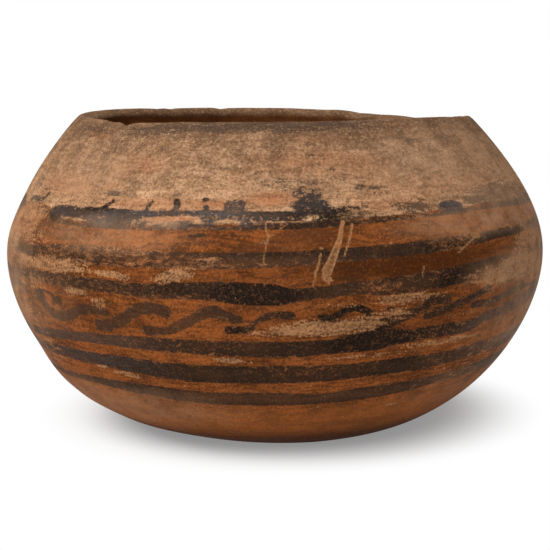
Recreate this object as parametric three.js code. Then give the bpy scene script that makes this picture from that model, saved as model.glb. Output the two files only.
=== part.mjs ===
// Hand-built terracotta bowl, modelled as the potter raises it: a pinched base dish,
// flattened coils laid one on another with bevelled seams, and a rounded rim coil.
// Millimetres, +Z up. The origin is the middle of the flat resting face.
import * as THREE from "three";

// Outer form, as radius and height
const base_radius = 38;
const belly_radius = 110;
const belly_height = 72;
const neck_radius = 80.6;
const neck_height = 126.4;

// How the outer curve bends between those sizes
const foot_reach = 43;
const foot_angle = 2;
const belly_drop = 27.5;
const belly_rise = 21.4;
const neck_reach = 12;
const neck_lean = 44.4;

// Clay thickness
const base_thickness = 8.5;
const wall_thickness = 6.4;
const lip_thickness = 5.6;

// Coils and their seams, measured along the outer wall
const dish_wall = 34;
const rim_coil_width = 15;
const wall_coil_count = 7;
const seam_lap = 5;
const seam_gap = 0.3;

// Hand-built rise and fall of the rim: degrees from the front towards +X, rise in mm
const rim_rise = [
  [-180, -0.2],
  [-150, 0.6],
  [-115, 1.8],
  [-85, 1.3],
  [-60, 0.2],
  [-42, -0.7],
  [-20, 0],
  [45, 0.1],
  [80, -0.9],
  [115, -5],
  [140, -3.1],
  [160, -1.1],
];

// Fineness of the facets
const turn_steps = 64;
const coil_steps = 3;
const dish_steps = 5;
const floor_steps = 3;
const lip_steps = 5;

const clay_colours = ["#8e5433", "#9a5f3c", "#a2663f"];
const full_turn = 360;

function radians(degrees) {
  return THREE.MathUtils.degToRad(degrees);
}

// The outer wall from the edge of the resting face to the start of the rounded lip.
function outerCurve() {
  const foot = new THREE.Vector2(base_radius, 0);
  const foot_pull = new THREE.Vector2(Math.cos(radians(foot_angle)), Math.sin(radians(foot_angle)));
  const belly = new THREE.Vector2(belly_radius, belly_height);
  const neck = new THREE.Vector2(neck_radius, neck_height);
  const neck_pull = new THREE.Vector2(Math.sin(radians(neck_lean)), -Math.cos(radians(neck_lean)));
  const path = new THREE.CurvePath();
  path.add(new THREE.CubicBezierCurve(
    foot,
    foot.clone().addScaledVector(foot_pull, foot_reach),
    new THREE.Vector2(belly_radius, belly_height - belly_drop),
    belly,
  ));
  path.add(new THREE.CubicBezierCurve(
    belly,
    new THREE.Vector2(belly_radius, belly_height + belly_rise),
    neck.clone().addScaledVector(neck_pull, neck_reach),
    neck,
  ));
  return path;
}

const outer = outerCurve();
const wall_length = outer.getLength();
const rim_start = wall_length - rim_coil_width;
const coil_width = (rim_start - dish_wall) / wall_coil_count;

// Direction from the outer skin into the clay, at a distance along the wall.
function inward(distance) {
  const tangent = outer.getTangentAt(distance / wall_length);
  return new THREE.Vector2(-tangent.y, tangent.x);
}

function clayThickness(distance) {
  const foot_share = 1 - THREE.MathUtils.smoothstep(distance, 0, dish_wall);
  const lip_share = THREE.MathUtils.smoothstep(distance, rim_start, wall_length);
  const wall = THREE.MathUtils.lerp(wall_thickness, lip_thickness, lip_share);
  return THREE.MathUtils.lerp(wall, base_thickness, foot_share);
}

function skinPoint(distance) {
  return outer.getPointAt(distance / wall_length);
}

function insidePoint(distance) {
  return skinPoint(distance).addScaledVector(inward(distance), clayThickness(distance));
}

// Evenly spaced points of one skin, both ends included.
function alongSkin(point_at, from, to, steps) {
  const points = [];
  for (let i = 0; i <= steps; i += 1) {
    points.push(point_at(THREE.MathUtils.lerp(from, to, i / steps)));
  }
  return points;
}

// A seam slants through the wall: the upper coil's foot laps down inside the lower coil.
// side is -1 for the face of the piece below the seam and 1 for the piece above it.
function seamEdges(distance, side) {
  const slant = Math.hypot(wall_thickness, seam_lap) / wall_thickness;
  const shift = (side * seam_gap * slant) / 2;
  return {
    outside: distance + seam_lap / 2 + shift,
    inside: distance - seam_lap / 2 + shift,
  };
}

function seamDistance(index) {
  return dish_wall + coil_width * index;
}

// Rise of the rim at an azimuth, eased between the named points around the full turn.
function rimRise(azimuth) {
  const points = [...rim_rise, [rim_rise[0][0] + full_turn, rim_rise[0][1]]];
  const after = Math.max(1, points.findIndex(([angle]) => angle >= azimuth));
  const [from_angle, from_rise] = points[after - 1];
  const [to_angle, to_rise] = points[after];
  const share = THREE.MathUtils.smoothstep(azimuth, from_angle, to_angle);
  return THREE.MathUtils.lerp(from_rise, to_rise, share);
}

// Lifts or lowers the wall above the belly, so the rim runs as unevenly as a hand leaves it.
function followRim(geometry) {
  const position = geometry.attributes.position;
  for (let i = 0; i < position.count; i += 1) {
    const azimuth = THREE.MathUtils.radToDeg(Math.atan2(position.getX(i), -position.getY(i)));
    const height = position.getZ(i);
    const share = THREE.MathUtils.smoothstep(height, belly_height, neck_height);
    position.setZ(i, height + rimRise(azimuth) * share);
  }
  return geometry;
}

// Turns a profile of radius and height points into a named piece of fired clay.
function turnedPiece(name, profile, colour) {
  const geometry = new THREE.LatheGeometry(profile, turn_steps);
  geometry.rotateX(Math.PI / 2);
  const clay = new THREE.MeshStandardMaterial({ color: colour, roughness: 0.85, metalness: 0 });
  const mesh = new THREE.Mesh(followRim(geometry), clay);
  mesh.name = name;
  return mesh;
}

// The base is one pinched dish: a thick flat floor whose edge turns up into the wall.
function baseDish() {
  const seam = seamEdges(seamDistance(0), -1);
  const inner_wall = alongSkin(insidePoint, seam.inside, 0, dish_steps);
  const floor_edge = inner_wall[inner_wall.length - 1];
  const floor = [];
  for (let i = 1; i <= floor_steps; i += 1) {
    floor.push(new THREE.Vector2(floor_edge.x * (1 - i / floor_steps), floor_edge.y));
  }
  return [
    new THREE.Vector2(0, 0),
    ...alongSkin(skinPoint, 0, seam.outside, dish_steps),
    ...inner_wall,
    ...floor,
  ];
}

function wallCoil(index) {
  const foot = seamEdges(seamDistance(index), 1);
  const crown = seamEdges(seamDistance(index + 1), -1);
  const profile = [
    ...alongSkin(skinPoint, foot.outside, crown.outside, coil_steps),
    ...alongSkin(insidePoint, crown.inside, foot.inside, coil_steps),
  ];
  return [...profile, profile[0].clone()];
}

// The last coil ends in a lip rounded between finger and thumb.
function rimCoil() {
  const foot = seamEdges(rim_start, 1);
  const into_clay = inward(wall_length);
  const upward = new THREE.Vector2(into_clay.y, -into_clay.x);
  const lip_radius = clayThickness(wall_length) / 2;
  const lip_centre = skinPoint(wall_length).addScaledVector(into_clay, lip_radius);
  const lip = [];
  for (let i = 1; i < lip_steps; i += 1) {
    const angle = (Math.PI * i) / lip_steps;
    lip.push(lip_centre.clone()
      .addScaledVector(into_clay, -lip_radius * Math.cos(angle))
      .addScaledVector(upward, lip_radius * Math.sin(angle)));
  }
  const profile = [
    ...alongSkin(skinPoint, foot.outside, wall_length, coil_steps),
    ...lip,
    ...alongSkin(insidePoint, wall_length, foot.inside, coil_steps),
  ];
  return [...profile, profile[0].clone()];
}

const bowl = new THREE.Group();
bowl.name = "terracotta_bowl";
bowl.add(turnedPiece("base_dish", baseDish(), clay_colours[0]));
for (let i = 0; i < wall_coil_count; i += 1) {
  const colour = clay_colours[(i + 1) % clay_colours.length];
  bowl.add(turnedPiece(`wall_coil_${i + 1}`, wallCoil(i), colour));
}
bowl.add(turnedPiece("rim_coil", rimCoil(), clay_colours[2]));

export default bowl;
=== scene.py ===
"""A coil-built terracotta bowl with burnished slip and painted bands, dressed around its solids.

Sizes are in millimetres and azimuths in degrees from the front, positive towards +X.
The finished meshes are in metres, in the same frame as the solids that they stand for.
"""

import logging
import math
from dataclasses import dataclass, field
from enum import Enum

import bpy
import numpy as np
from mathutils import Matrix, Vector, noise


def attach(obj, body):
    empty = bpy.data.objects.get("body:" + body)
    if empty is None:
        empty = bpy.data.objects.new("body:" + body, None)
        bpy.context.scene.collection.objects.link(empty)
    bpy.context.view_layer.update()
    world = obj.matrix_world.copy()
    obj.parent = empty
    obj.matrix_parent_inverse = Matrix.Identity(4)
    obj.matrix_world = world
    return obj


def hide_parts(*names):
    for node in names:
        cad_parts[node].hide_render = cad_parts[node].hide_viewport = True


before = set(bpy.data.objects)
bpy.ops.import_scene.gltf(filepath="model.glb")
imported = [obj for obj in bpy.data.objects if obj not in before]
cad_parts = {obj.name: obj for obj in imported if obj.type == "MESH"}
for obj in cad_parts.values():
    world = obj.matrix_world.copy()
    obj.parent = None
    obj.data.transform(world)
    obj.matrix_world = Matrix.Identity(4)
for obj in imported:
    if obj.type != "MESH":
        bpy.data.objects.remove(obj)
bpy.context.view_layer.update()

LOG = logging.getLogger("terracotta_bowl")
MM = 0.001
FULL_TURN = 360.0

Place = tuple[float, float]
Colour = tuple[float, ...]
Socket = bpy.types.NodeSocket


class Field(Enum):
    """Names of the values that the painted surface carries at each point."""

    ALONG = "along_mm"
    BLACK = "black_mm"
    COAT = "black_coat"
    FLAKE = "flake"
    # grey graphite paint, lightened further by a painted sheen of light
    GRAPHITE = "graphite"
    SLIP = "slip_mm"
    WORN = "worn"
    SCRATCH = "scratch_mm"
    SOOT = "soot"
    FLUSH = "flush"
    # dust, and a painted sheen and painted reflection on the sides
    DUST = "dust"
    # browning of the slip, and a painted shade round the foot
    BROWN = "brown"
    INSIDE = "inside"
    SECOND_SLIP = "second_slip_mm"


def smooth_step(value: np.ndarray, low: float, high: float) -> np.ndarray:
    """Eases from 0 at low to 1 at high.

    Args:
        value: The values to ease.
        low: Where the result is 0.
        high: Where the result is 1.

    Returns:
        The eased shares.
    """
    share = np.clip((value - low) / (high - low), 0.0, 1.0)
    return share * share * (3.0 - 2.0 * share)


def ring_curve(points: tuple[Place, ...], azimuth: np.ndarray) -> np.ndarray:
    """Draws a smooth closed curve round the bowl through a few (azimuth, value) points.

    Args:
        points: The azimuths in degrees and the values there, in rising azimuth.
        azimuth: Where to read the curve, in degrees.

    Returns:
        The curve's values.
    """
    angles = np.array([point[0] for point in points])
    values = np.array([point[1] for point in points])
    count = len(points)
    turned = np.mod(azimuth - angles[0], FULL_TURN) + angles[0]
    after = np.searchsorted(angles, turned, side="right")
    index = after - 1
    ring_angles = np.concatenate([angles, angles + FULL_TURN, angles[:1] + 2 * FULL_TURN])
    ring_values = np.concatenate([values, values, values[:1]])
    slopes = (np.roll(ring_values[:count], -1) - np.roll(ring_values[:count], 1)) / (
        np.roll(angles, -1) + FULL_TURN * (np.arange(count) == count - 1)
        - np.roll(angles, 1) + FULL_TURN * (np.arange(count) == 0)
    )
    ring_slopes = np.concatenate([slopes, slopes, slopes[:1]])
    width = ring_angles[index + 1] - ring_angles[index]
    share = (turned - ring_angles[index]) / width
    rest = 1.0 - share
    return (
        (1.0 + 2.0 * share) * rest * rest * ring_values[index]
        + share * rest * rest * width * ring_slopes[index]
        + share * share * (3.0 - 2.0 * share) * ring_values[index + 1]
        - share * share * rest * width * ring_slopes[index + 1]
    )


@dataclass(frozen=True)
class WallShape:
    """The section of the fired wall, the same as the one that the solids are turned from."""

    base_radius: float = 38.0
    belly_radius: float = 109.8
    belly_height: float = 72.0
    neck_radius: float = 80.6
    neck_height: float = 126.4
    foot_reach: float = 43.0
    foot_angle: float = 2.0
    belly_drop: float = 27.5
    belly_rise: float = 21.4
    neck_reach: float = 12.0
    neck_lean: float = 44.4
    base_thickness: float = 8.5
    wall_thickness: float = 6.4
    lip_thickness: float = 5.6
    dish_wall: float = 34.0
    rim_coil_width: float = 15.0
    wall_coil_count: int = 7
    seam_lap: float = 5.0
    curve_samples: int = 400

    @staticmethod
    def bezier(corners: list[Place], share: np.ndarray) -> np.ndarray:
        """Reads a cubic curve from its four corners.

        Args:
            corners: Four (radius, height) points.
            share: Places along the curve, from 0 to 1.

        Returns:
            The points, one row each.
        """
        start, first, second, end = (np.array(corner) for corner in corners)
        t = share[:, None]
        rest = 1.0 - t
        return rest**3 * start + 3 * rest**2 * t * first + 3 * rest * t**2 * second + t**3 * end

    def outer_skin(self) -> tuple[np.ndarray, np.ndarray]:
        """Samples the outside of the wall, from the resting face's edge to the neck.

        Returns:
            The (radius, height) points and the distance of each along the wall.
        """
        share = np.linspace(0.0, 1.0, self.curve_samples)
        foot = math.radians(self.foot_angle)
        lean = math.radians(self.neck_lean)
        lower = self.bezier([
            (self.base_radius, 0.0),
            (self.base_radius + self.foot_reach * math.cos(foot), self.foot_reach * math.sin(foot)),
            (self.belly_radius, self.belly_height - self.belly_drop),
            (self.belly_radius, self.belly_height),
        ], share)
        upper = self.bezier([
            (self.belly_radius, self.belly_height),
            (self.belly_radius, self.belly_height + self.belly_rise),
            (self.neck_radius + self.neck_reach * math.sin(lean),
             self.neck_height - self.neck_reach * math.cos(lean)),
            (self.neck_radius, self.neck_height),
        ], share)
        points = np.vstack([lower, upper[1:]])
        steps = np.hypot(*np.diff(points, axis=0).T)
        return points, np.concatenate([[0.0], np.cumsum(steps)])

    def thickness(self, distance: np.ndarray, length: float) -> np.ndarray:
        """Gives the clay's thickness at a distance along the wall.

        Args:
            distance: Distances from the resting face's edge.
            length: The whole wall's length.

        Returns:
            The thicknesses.
        """
        foot_share = 1.0 - smooth_step(distance, 0.0, self.dish_wall)
        lip_share = smooth_step(distance, length - self.rim_coil_width, length)
        wall = self.wall_thickness + (self.lip_thickness - self.wall_thickness) * lip_share
        return wall + (self.base_thickness - wall) * foot_share


@dataclass(frozen=True)
class SectionPoint:
    """One corner of the turned section, and the coil that the stretch after it belongs to."""

    radius: float
    height: float
    coil: int


@dataclass
class Section:
    """The whole closed section, from the middle of the resting face round to the inner floor."""

    shape: WallShape
    floor_steps: int = 3
    dish_steps: int = 5
    coil_steps: int = 3
    lip_steps: int = 6
    inner_coil_steps: int = 2
    inner_end_steps: int = 3

    def __post_init__(self) -> None:
        """Samples the skin and lays out the points."""
        self.skin, self.along = self.shape.outer_skin()
        self.length = float(self.along[-1])
        tangent = np.gradient(self.skin, self.along, axis=0)
        tangent /= np.hypot(*tangent.T)[:, None]
        self.inward = np.column_stack([-tangent[:, 1], tangent[:, 0]])
        self.points = self.lay_out()

    def outside(self, distance: float) -> Place:
        """Gives the point of the outer skin at a distance along the wall."""
        return tuple(np.interp(distance, self.along, self.skin[:, i]) for i in range(2))

    def distance_at(self, height: np.ndarray | float) -> np.ndarray:
        """Gives the distance along the wall at a height of the outer skin."""
        return np.interp(height, self.skin[:, 1], self.along)

    def inside(self, distance: float) -> Place:
        """Gives the point of the inner skin across from a distance along the wall.

        Args:
            distance: The distance along the wall.

        Returns:
            The radius and height.
        """
        depth = float(self.shape.thickness(np.array([distance]), self.length)[0])
        start = self.outside(distance)
        return tuple(start[i] + depth * np.interp(distance, self.along, self.inward[:, i])
                     for i in range(2))

    def seams(self) -> list[float]:
        """Gives each seam's distance along the wall, from the dish up to the rim coil.

        Returns:
            The distances in millimetres.
        """
        rim_start = self.length - self.shape.rim_coil_width
        width = (rim_start - self.shape.dish_wall) / self.shape.wall_coil_count
        return [self.shape.dish_wall + width * i for i in range(self.shape.wall_coil_count + 1)]

    def lip(self) -> list[Place]:
        """Rounds the lip from the outer skin over to the inner one.

        Returns:
            The lip's (radius, height) points.
        """
        centre = (np.array(self.outside(self.length)) + np.array(self.inside(self.length))) / 2
        across = self.inward[-1]
        upward = np.array([across[1], -across[0]])
        radius = self.shape.lip_thickness / 2
        turns = [math.pi * i / self.lip_steps for i in range(1, self.lip_steps)]
        return [tuple(centre - across * radius * math.cos(turn) + upward * radius * math.sin(turn))
                for turn in turns]

    def lay_out(self) -> list[SectionPoint]:
        """Walks the section once and notes the coil of each stretch.

        Returns:
            The points in order.
        """
        seams = self.seams()
        lap = self.shape.seam_lap / 2
        last = len(seams)
        outer_edges = [0.0] + [seam + lap for seam in seams] + [self.length]
        inner_edges = [0.0] + [seam - lap for seam in seams] + [self.length]
        found: list[SectionPoint] = []
        for i in range(self.floor_steps):
            found.append(SectionPoint(self.shape.base_radius * i / self.floor_steps, 0.0, 0))
        for coil in range(last + 1):
            steps = self.dish_steps if coil == 0 else self.coil_steps
            for place in np.linspace(outer_edges[coil], outer_edges[coil + 1], steps + 1)[:-1]:
                found.append(SectionPoint(*self.outside(place), coil))
        found.append(SectionPoint(*self.outside(self.length), last))
        found += [SectionPoint(*place, last) for place in self.lip()]
        for coil in range(last, -1, -1):
            steps = self.inner_end_steps if coil in (0, last) else self.inner_coil_steps
            for place in np.linspace(inner_edges[coil + 1], inner_edges[coil], steps + 1)[:-1]:
                found.append(SectionPoint(*self.inside(place), coil))
        floor = self.inside(0.0)
        for i in range(self.floor_steps + 1):
            found.append(SectionPoint(floor[0] * (1 - i / self.floor_steps), floor[1], 0))
        return found

    def path(self) -> np.ndarray:
        """Measures each point's distance along the section from the middle of the resting face."""
        places = np.array([(point.radius, point.height) for point in self.points])
        return np.concatenate([[0.0], np.cumsum(np.hypot(*np.diff(places, axis=0).T))])


@dataclass(frozen=True)
class RimLine:
    """How the hand-made rim rises and falls, as (azimuth, mm) points, with its small nicks."""

    rise: tuple[Place, ...] = (
        (-180, 0.2), (-150, 0.95), (-115, 1.9), (-85, 1.4), (-60, 0.45), (-42, -0.4),
        (-20, 0.35), (45, 0.4), (80, -0.7), (115, -4.8), (140, -2.8), (160, -0.7),
    )
    nicks: tuple[tuple[float, float, float], ...] = (
        (-44.4, 3.4, 2.3), (-50.5, 5.0, 0.4), (-162.0, 3.0, 0.9), (-138.0, 3.0, 0.4),
        (-143.5, 2.5, 0.5), (27.0, 5.0, 0.25), (150.0, 4.0, 0.5), (60.0, 4.0, 0.3),
    )
    nick_sharpness: float = 1.3
    ripple: float = 0.22
    ripple_turn: float = 7.0
    ripple_row: float = 3.0

    def height(self, azimuth: np.ndarray) -> np.ndarray:
        """Reads the slow rise of the rim, eased between its points as the solids are.

        Args:
            azimuth: Azimuths in degrees, from -180 to 180.

        Returns:
            The rise at each, in millimetres.
        """
        points = self.rise + ((self.rise[0][0] + FULL_TURN, self.rise[0][1]),)
        angles = np.array([point[0] for point in points])
        values = np.array([point[1] for point in points])
        index = np.clip(np.searchsorted(angles, azimuth) - 1, 0, len(angles) - 2)
        share = (azimuth - angles[index]) / (angles[index + 1] - angles[index])
        share = share * share * (3 - 2 * share)
        return values[index] + (values[index + 1] - values[index]) * share

    def nick_depth(self, azimuth: np.ndarray) -> np.ndarray:
        """Adds up the small nicks worn or knocked into the lip.

        Args:
            azimuth: Azimuths in degrees.

        Returns:
            The depth at each, in millimetres.
        """
        depth = np.zeros_like(azimuth)
        for centre, reach, deep in self.nicks:
            apart = np.abs(np.mod(azimuth - centre + 180.0, FULL_TURN) - 180.0)
            depth += deep * np.clip(1.0 - apart / reach, 0.0, 1.0) ** self.nick_sharpness
        return depth

    def fine_line(self, azimuth: np.ndarray) -> np.ndarray:
        """Gives the lip's fine ups and downs, nicks and all.

        Args:
            azimuth: Azimuths in degrees.

        Returns:
            The height at each, in millimetres.
        """
        ripple = np.array([
            noise.noise(Vector((angle / self.ripple_turn, self.ripple_row, 0.0)))
            for angle in azimuth])
        return self.ripple * (ripple - 0.5) - self.nick_depth(azimuth)


@dataclass(frozen=True)
class Band:
    """A painted stripe round the bowl between an upper and a lower edge of (azimuth, height)."""

    upper: tuple[Place, ...]
    lower: tuple[Place, ...]


@dataclass(frozen=True)
class Stroke:
    """One pull of the brush through (azimuth, height) points, with its half width."""

    points: tuple[Place, ...]
    half_width: float
    end_half_width: float


@dataclass(frozen=True)
class Patch:
    """An oval patch: its middle, half width in degrees, half height, strength and slant."""

    azimuth: float
    height: float
    half_turn: float
    half_height: float
    strength: float = 1.0
    slant: float = 0.0


def patches(*rows: tuple[float, ...]) -> tuple[Patch, ...]:
    """Makes a group of patches from rows of their numbers."""
    return tuple(Patch(*row) for row in rows)


# The dark bands, by (azimuth, height) along their upper and lower edges.
BANDS = {
    "shoulder_line": Band(
        ((-110, 95), (-85, 97), (-74, 96), (-66, 92), (-56, 92), (-53.5, 96.2), (-43, 97.3),
         (-34, 97.5), (-25, 97.2), (-13, 97.8), (2, 97.6), (10, 98.6), (16, 98), (19, 96.4),
         (22, 94.9), (32, 94.9), (45, 95.4), (60, 95.6), (90, 97.5), (140, 98.5), (180, 97.5),
         (220, 96)),
        ((-110, 90), (-85, 91), (-74, 93), (-66, 94), (-56, 94), (-53, 91.2), (-45, 90.6),
         (-26, 90.6), (-12, 91.3), (0, 91.6), (10, 91.9), (19, 92.7), (30, 93.3), (40, 93.7),
         (51, 94.3), (67, 93), (90, 92.5), (140, 92), (180, 91.5), (220, 90.5)),
    ),
    "upper_belly_line": Band(
        ((-95, 80.5), (-63, 81.2), (-47, 83.4), (-36, 84.6), (-26, 84), (-8, 84), (9, 84.7),
         (19, 85.3), (27, 85.8), (42, 86.6), (55, 87), (63, 87), (90, 88), (140, 86), (180, 84.5),
         (220, 83)),
        ((-95, 76.5), (-62, 77.4), (-46, 77.7), (-26, 78), (-3, 78.8), (11, 80.2), (19, 81),
         (34, 81.6), (44, 83), (55, 83.7), (63, 83.6), (90, 83), (140, 80.5), (180, 79),
         (220, 77.5)),
    ),
    "belly_line": Band(
        ((-95, 71.2), (-66, 71.6), (-54, 73), (-34, 73.2), (-27, 72.6), (-12, 74), (0, 73.5),
         (2.6, 72), (9, 72.4), (14, 73.6), (19, 73.8), (30, 75.3), (38, 76.3), (47, 77.4),
         (57, 77.4), (66, 76.6), (90, 78), (140, 76), (180, 74), (220, 72.5)),
        ((-95, 67.2), (-61, 68.2), (-46, 68.3), (-34, 68.3), (-26, 67.6), (-12, 67.5), (-5, 66),
         (1, 66), (5, 67.4), (15, 68.8), (20, 68), (32, 68.7), (38, 70), (42, 71.4), (50, 73.4),
         (58, 74.4), (66, 75), (90, 72.5), (140, 70), (180, 67.5), (220, 66)),
    ),
    "upper_lower_line": Band(
        ((-95, 47.8), (-60, 49.4), (-47, 51.4), (-35, 52.3), (-20, 53), (3, 52.7), (10, 53),
         (14, 54.4), (18, 56.2), (21, 57), (24, 55), (30, 54.8), (36, 55.2), (41, 54.9), (46, 57),
         (52, 58.2), (60, 60.4), (74, 62), (110, 60.5), (150, 57.5), (180, 56), (220, 53.5)),
        ((-95, 44), (-62, 45.8), (-48, 47.1), (-38, 47.9), (-20, 47.4), (3, 46.7), (12, 47.4),
         (20, 47.8), (26, 49.4), (31, 50.1), (42, 50.3), (46.5, 52.8), (53, 53.5), (62, 54.8),
         (74, 56.8), (110, 55.5), (150, 52.5), (180, 50), (220, 48.5)),
    ),
    "middle_lower_line": Band(
        ((-95, 43), (-65, 43.3), (-45, 43.8), (-32, 44), (-20, 43.1), (0, 43.3), (13, 42.9),
         (21, 43.5), (30, 43.9), (38, 43.8), (43, 44.9), (53, 45), (62, 45.5), (90, 47), (140, 45),
         (180, 43.5), (220, 43)),
        ((-95, 37.4), (-62, 38.7), (-48, 38.7), (-38, 38.4), (-31, 37.6), (-21, 36), (0, 36),
         (11, 36.4), (20, 37), (30, 37.4), (39, 38.2), (52, 39.2), (65, 39.6), (90, 41),
         (140, 38.5), (180, 37), (220, 36.5)),
    ),
    "lowest_line": Band(
        ((-95, 31.5), (-63, 31.8), (-43, 33), (-30, 33), (-18, 32.1), (0, 32), (10, 31.2),
         (19, 32.6), (30, 33.2), (39, 34), (48, 34.9), (60, 35.6), (90, 35.5), (140, 34),
         (180, 32.5), (220, 32)),
        ((-95, 28.4), (-63, 29.4), (-46, 29.6), (-35, 28.8), (-25, 27.5), (-17, 26.7), (0, 26.2),
         (19, 27), (33, 28.8), (41, 30.2), (60, 30.6), (90, 31), (140, 29.5), (180, 28),
         (220, 27.5)),
    ),
}

# The frieze between the bands, as the front shows it.
FRONT_STROKES = (
    Stroke(((-54.8, 63.4), (-53, 63.2)), 2.9, 2.8),
    Stroke(((-54.2, 65.3), (-50.8, 65.4), (-48.2, 64.2)), 0.7, 0.6),
    Stroke(((-53.2, 62.4), (-52.6, 60.5), (-50.7, 57.9), (-47.4, 56.8), (-43.8, 58.2),
            (-40.8, 60.6), (-37.3, 61.5), (-33.7, 60.9)), 2.5, 1.6),
    Stroke(((-48.2, 62.9), (-46.6, 62.6)), 1.9, 1.8),
    Stroke(((-36.2, 55.8), (-32.2, 57), (-29.6, 59.4), (-27.5, 62.1), (-25.1, 63.7), (-22.7, 63.8),
            (-20.5, 62.7)), 2.3, 2.2),
    Stroke(((-25.2, 55.5), (-22.5, 55.5), (-20.2, 56.1)), 1.9, 1.6),
    Stroke(((-20.4, 56), (-18.5, 57.7), (-14.7, 61.2), (-12.9, 63.1), (-10.8, 63.6)), 1.8, 2.3),
    Stroke(((-10.9, 63.5), (-8.4, 61.9), (-6.9, 60.9)), 2, 1.7),
    Stroke(((-8.6, 57.1), (-5.6, 57.2), (-4.4, 57.8)), 1.7, 1.2),
    Stroke(((-4.8, 58), (-3.4, 60.1), (-1.4, 61.9)), 0.8, 1.1),
    Stroke(((-1.5, 62), (0.4, 62.5), (2.9, 62.1)), 1.4, 1.6),
    Stroke(((-8, 59.6), (-4.6, 60.2), (-1.8, 61.4)), 0.35, 0.3),
    Stroke(((7.8, 61.5), (10.2, 61.6)), 0.5, 0.9),
    Stroke(((6.4, 59.4), (8.8, 60.1), (11.2, 61.8), (13, 63.6), (15, 64.2),
            (17.4, 62.2)), 0.8, 1.6),
    Stroke(((21.4, 62.8), (22.4, 63.3)), 1.1, 0.9),
    Stroke(((18.1, 54.3), (20, 57.2), (22.9, 58.7), (25.7, 60.4), (28.4, 62.3), (30.9, 64.5),
            (34.4, 64.8)), 2.3, 1.8),
    Stroke(((29.9, 59), (32.7, 60.4), (36.5, 62), (40.2, 63.6), (44, 65.4), (45.7, 66)), 1.7, 1.4),
    Stroke(((41.6, 60.9), (44.9, 60.6), (48.4, 61.3), (53.5, 62.4), (58.4, 63.2),
            (70.6, 62.8)), 1.6, 1.2),
    Stroke(((32.5, 70.3), (36.5, 70), (40.3, 69.7)), 0.8, 0.7),
)

# The rungs and small marks above the shoulder line.
SHOULDER_STROKES = (
    Stroke(((-41.5, 95.2), (-40.2, 95.6), (-38.2, 96.8), (-36.4, 98.4), (-35, 100)), 1, 0.85),
    Stroke(((-26.2, 97), (-26, 98.6), (-25.3, 100.2)), 0.9, 0.7),
    Stroke(((-20.4, 97), (-19.6, 98.6), (-19.9, 100.4)), 1, 1.4),
    Stroke(((-14.2, 101.2), (-13.4, 101.4)), 0.8, 0.7),
    Stroke(((-13.6, 98.8), (-13.2, 97.2), (-12.6, 93.2)), 1.1, 1.2),
    Stroke(((-44, 91.6), (-49, 92.3), (-52, 93.2)), 0.45, 0.4),
    Stroke(((-9.2, 97.6), (-9.1, 100.3), (-6.4, 100.5), (-6.3, 97.6)), 1, 1),
    Stroke(((-79.5, 92), (-78, 93.8), (-76, 95.6)), 3, 2.6),
    Stroke(((-62, 96.8), (-59.6, 98.6), (-58.6, 100.2)), 0.9, 0.7),
)

# Scratches and scrapes through the paint.
SCRATCHES = (
    Stroke(((13.1, 93.6), (12.9, 92.6)), 0.9, 0.6),
    Stroke(((12.8, 92.6), (12.2, 88.5), (11.2, 84.5), (10.2, 80.5), (9.4, 77.6)), 0.7, 1.85),
    Stroke(((9.3, 77.4), (8.8, 75.6)), 1.35, 0.9),
    Stroke(((9.9, 75), (9.4, 73)), 0.6, 0.4),
    Stroke(((8.6, 74.6), (10.6, 74)), 0.4, 0.3),
    Stroke(((14.9, 92.8), (14, 88), (12.7, 82.4)), 0.55, 0.4),
    Stroke(((-1.6, 94.2), (-1.6, 91.5), (-1.1, 88.8), (-1.7, 85.5), (-1.9, 83),
            (-2.1, 80.7)), 0.34, 0.32),
    Stroke(((-2.7, 80.2), (-1.3, 80.3)), 0.3, 0.3),
    Stroke(((2.6, 93.6), (-0.9, 89.4), (-3.1, 86.2)), 0.3, 0.26),
    Stroke(((8.4, 83.4), (7.8, 79.5), (7.2, 77)), 0.45, 0.6),
    Stroke(((7.3, 76.6), (6.7, 72)), 0.5, 0.35),
    Stroke(((41.6, 84.8), (39.3, 82.8), (37, 80.6)), 0.5, 0.45),
    Stroke(((38.2, 82.4), (35.6, 82.6)), 0.25, 0.18),
    Stroke(((41.8, 86), (43.4, 85.7)), 1.2, 1),
    Stroke(((22, 86), (22.2, 85.9)), 0.6, 0.5),
    Stroke(((8.3, 85.3), (8.7, 85.3)), 0.5, 0.45),
    Stroke(((-2.2, 88), (-1.6, 87.4)), 0.35, 0.3),
    Stroke(((28.6, 77), (28.2, 74.9), (28.3, 72.8)), 0.5, 0.25),
    Stroke(((53.5, 46.5), (52.5, 43.5)), 0.3, 0.2),
    Stroke(((-50, 83), (-49.2, 80)), 0.3, 0.2),
    Stroke(((-24, 84), (-24.6, 80.5)), 0.3, 0.2),
    Stroke(((59.4, 83.2), (62.4, 83)), 1, 1.1),
    Stroke(((65, 82.7), (71, 81.6)), 1.2, 1),
    Stroke(((120, 92), (118, 84), (117, 76)), 0.8, 0.5),
    Stroke(((-120, 90), (-118, 80), (-119, 72)), 0.5, 0.3),
    Stroke(((170, 70), (176, 66)), 0.5, 0.3),
)

# Blots of dark paint.
BLOTS = patches(
    (7.2, 99.4, 4, 2.4), (6.8, 103.4, 3.4, 2.8), (-36.2, 93.6, 4.6, 3.1, 1, 0.1),
    (-48.2, 95.2, 5.2, 2.4), (-65.5, 96.8, 3.6, 2, 1, 0.15), (-56.4, 94.2, 1.5, 1.6),
    (14.6, 98.2, 2.2, 0.7), (-7.7, 99.3, 2.1, 2.3), (-14.7, 89.5, 1.7, 0.8),
    (38.2, 96, 3.6, 2.9, 1, -0.1), (46, 97.8, 4, 1.5, 1, 0.1), (18.5, 105.2, 1, 0.6),
    (22, 104.6, 1.5, 0.5),
)

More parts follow.
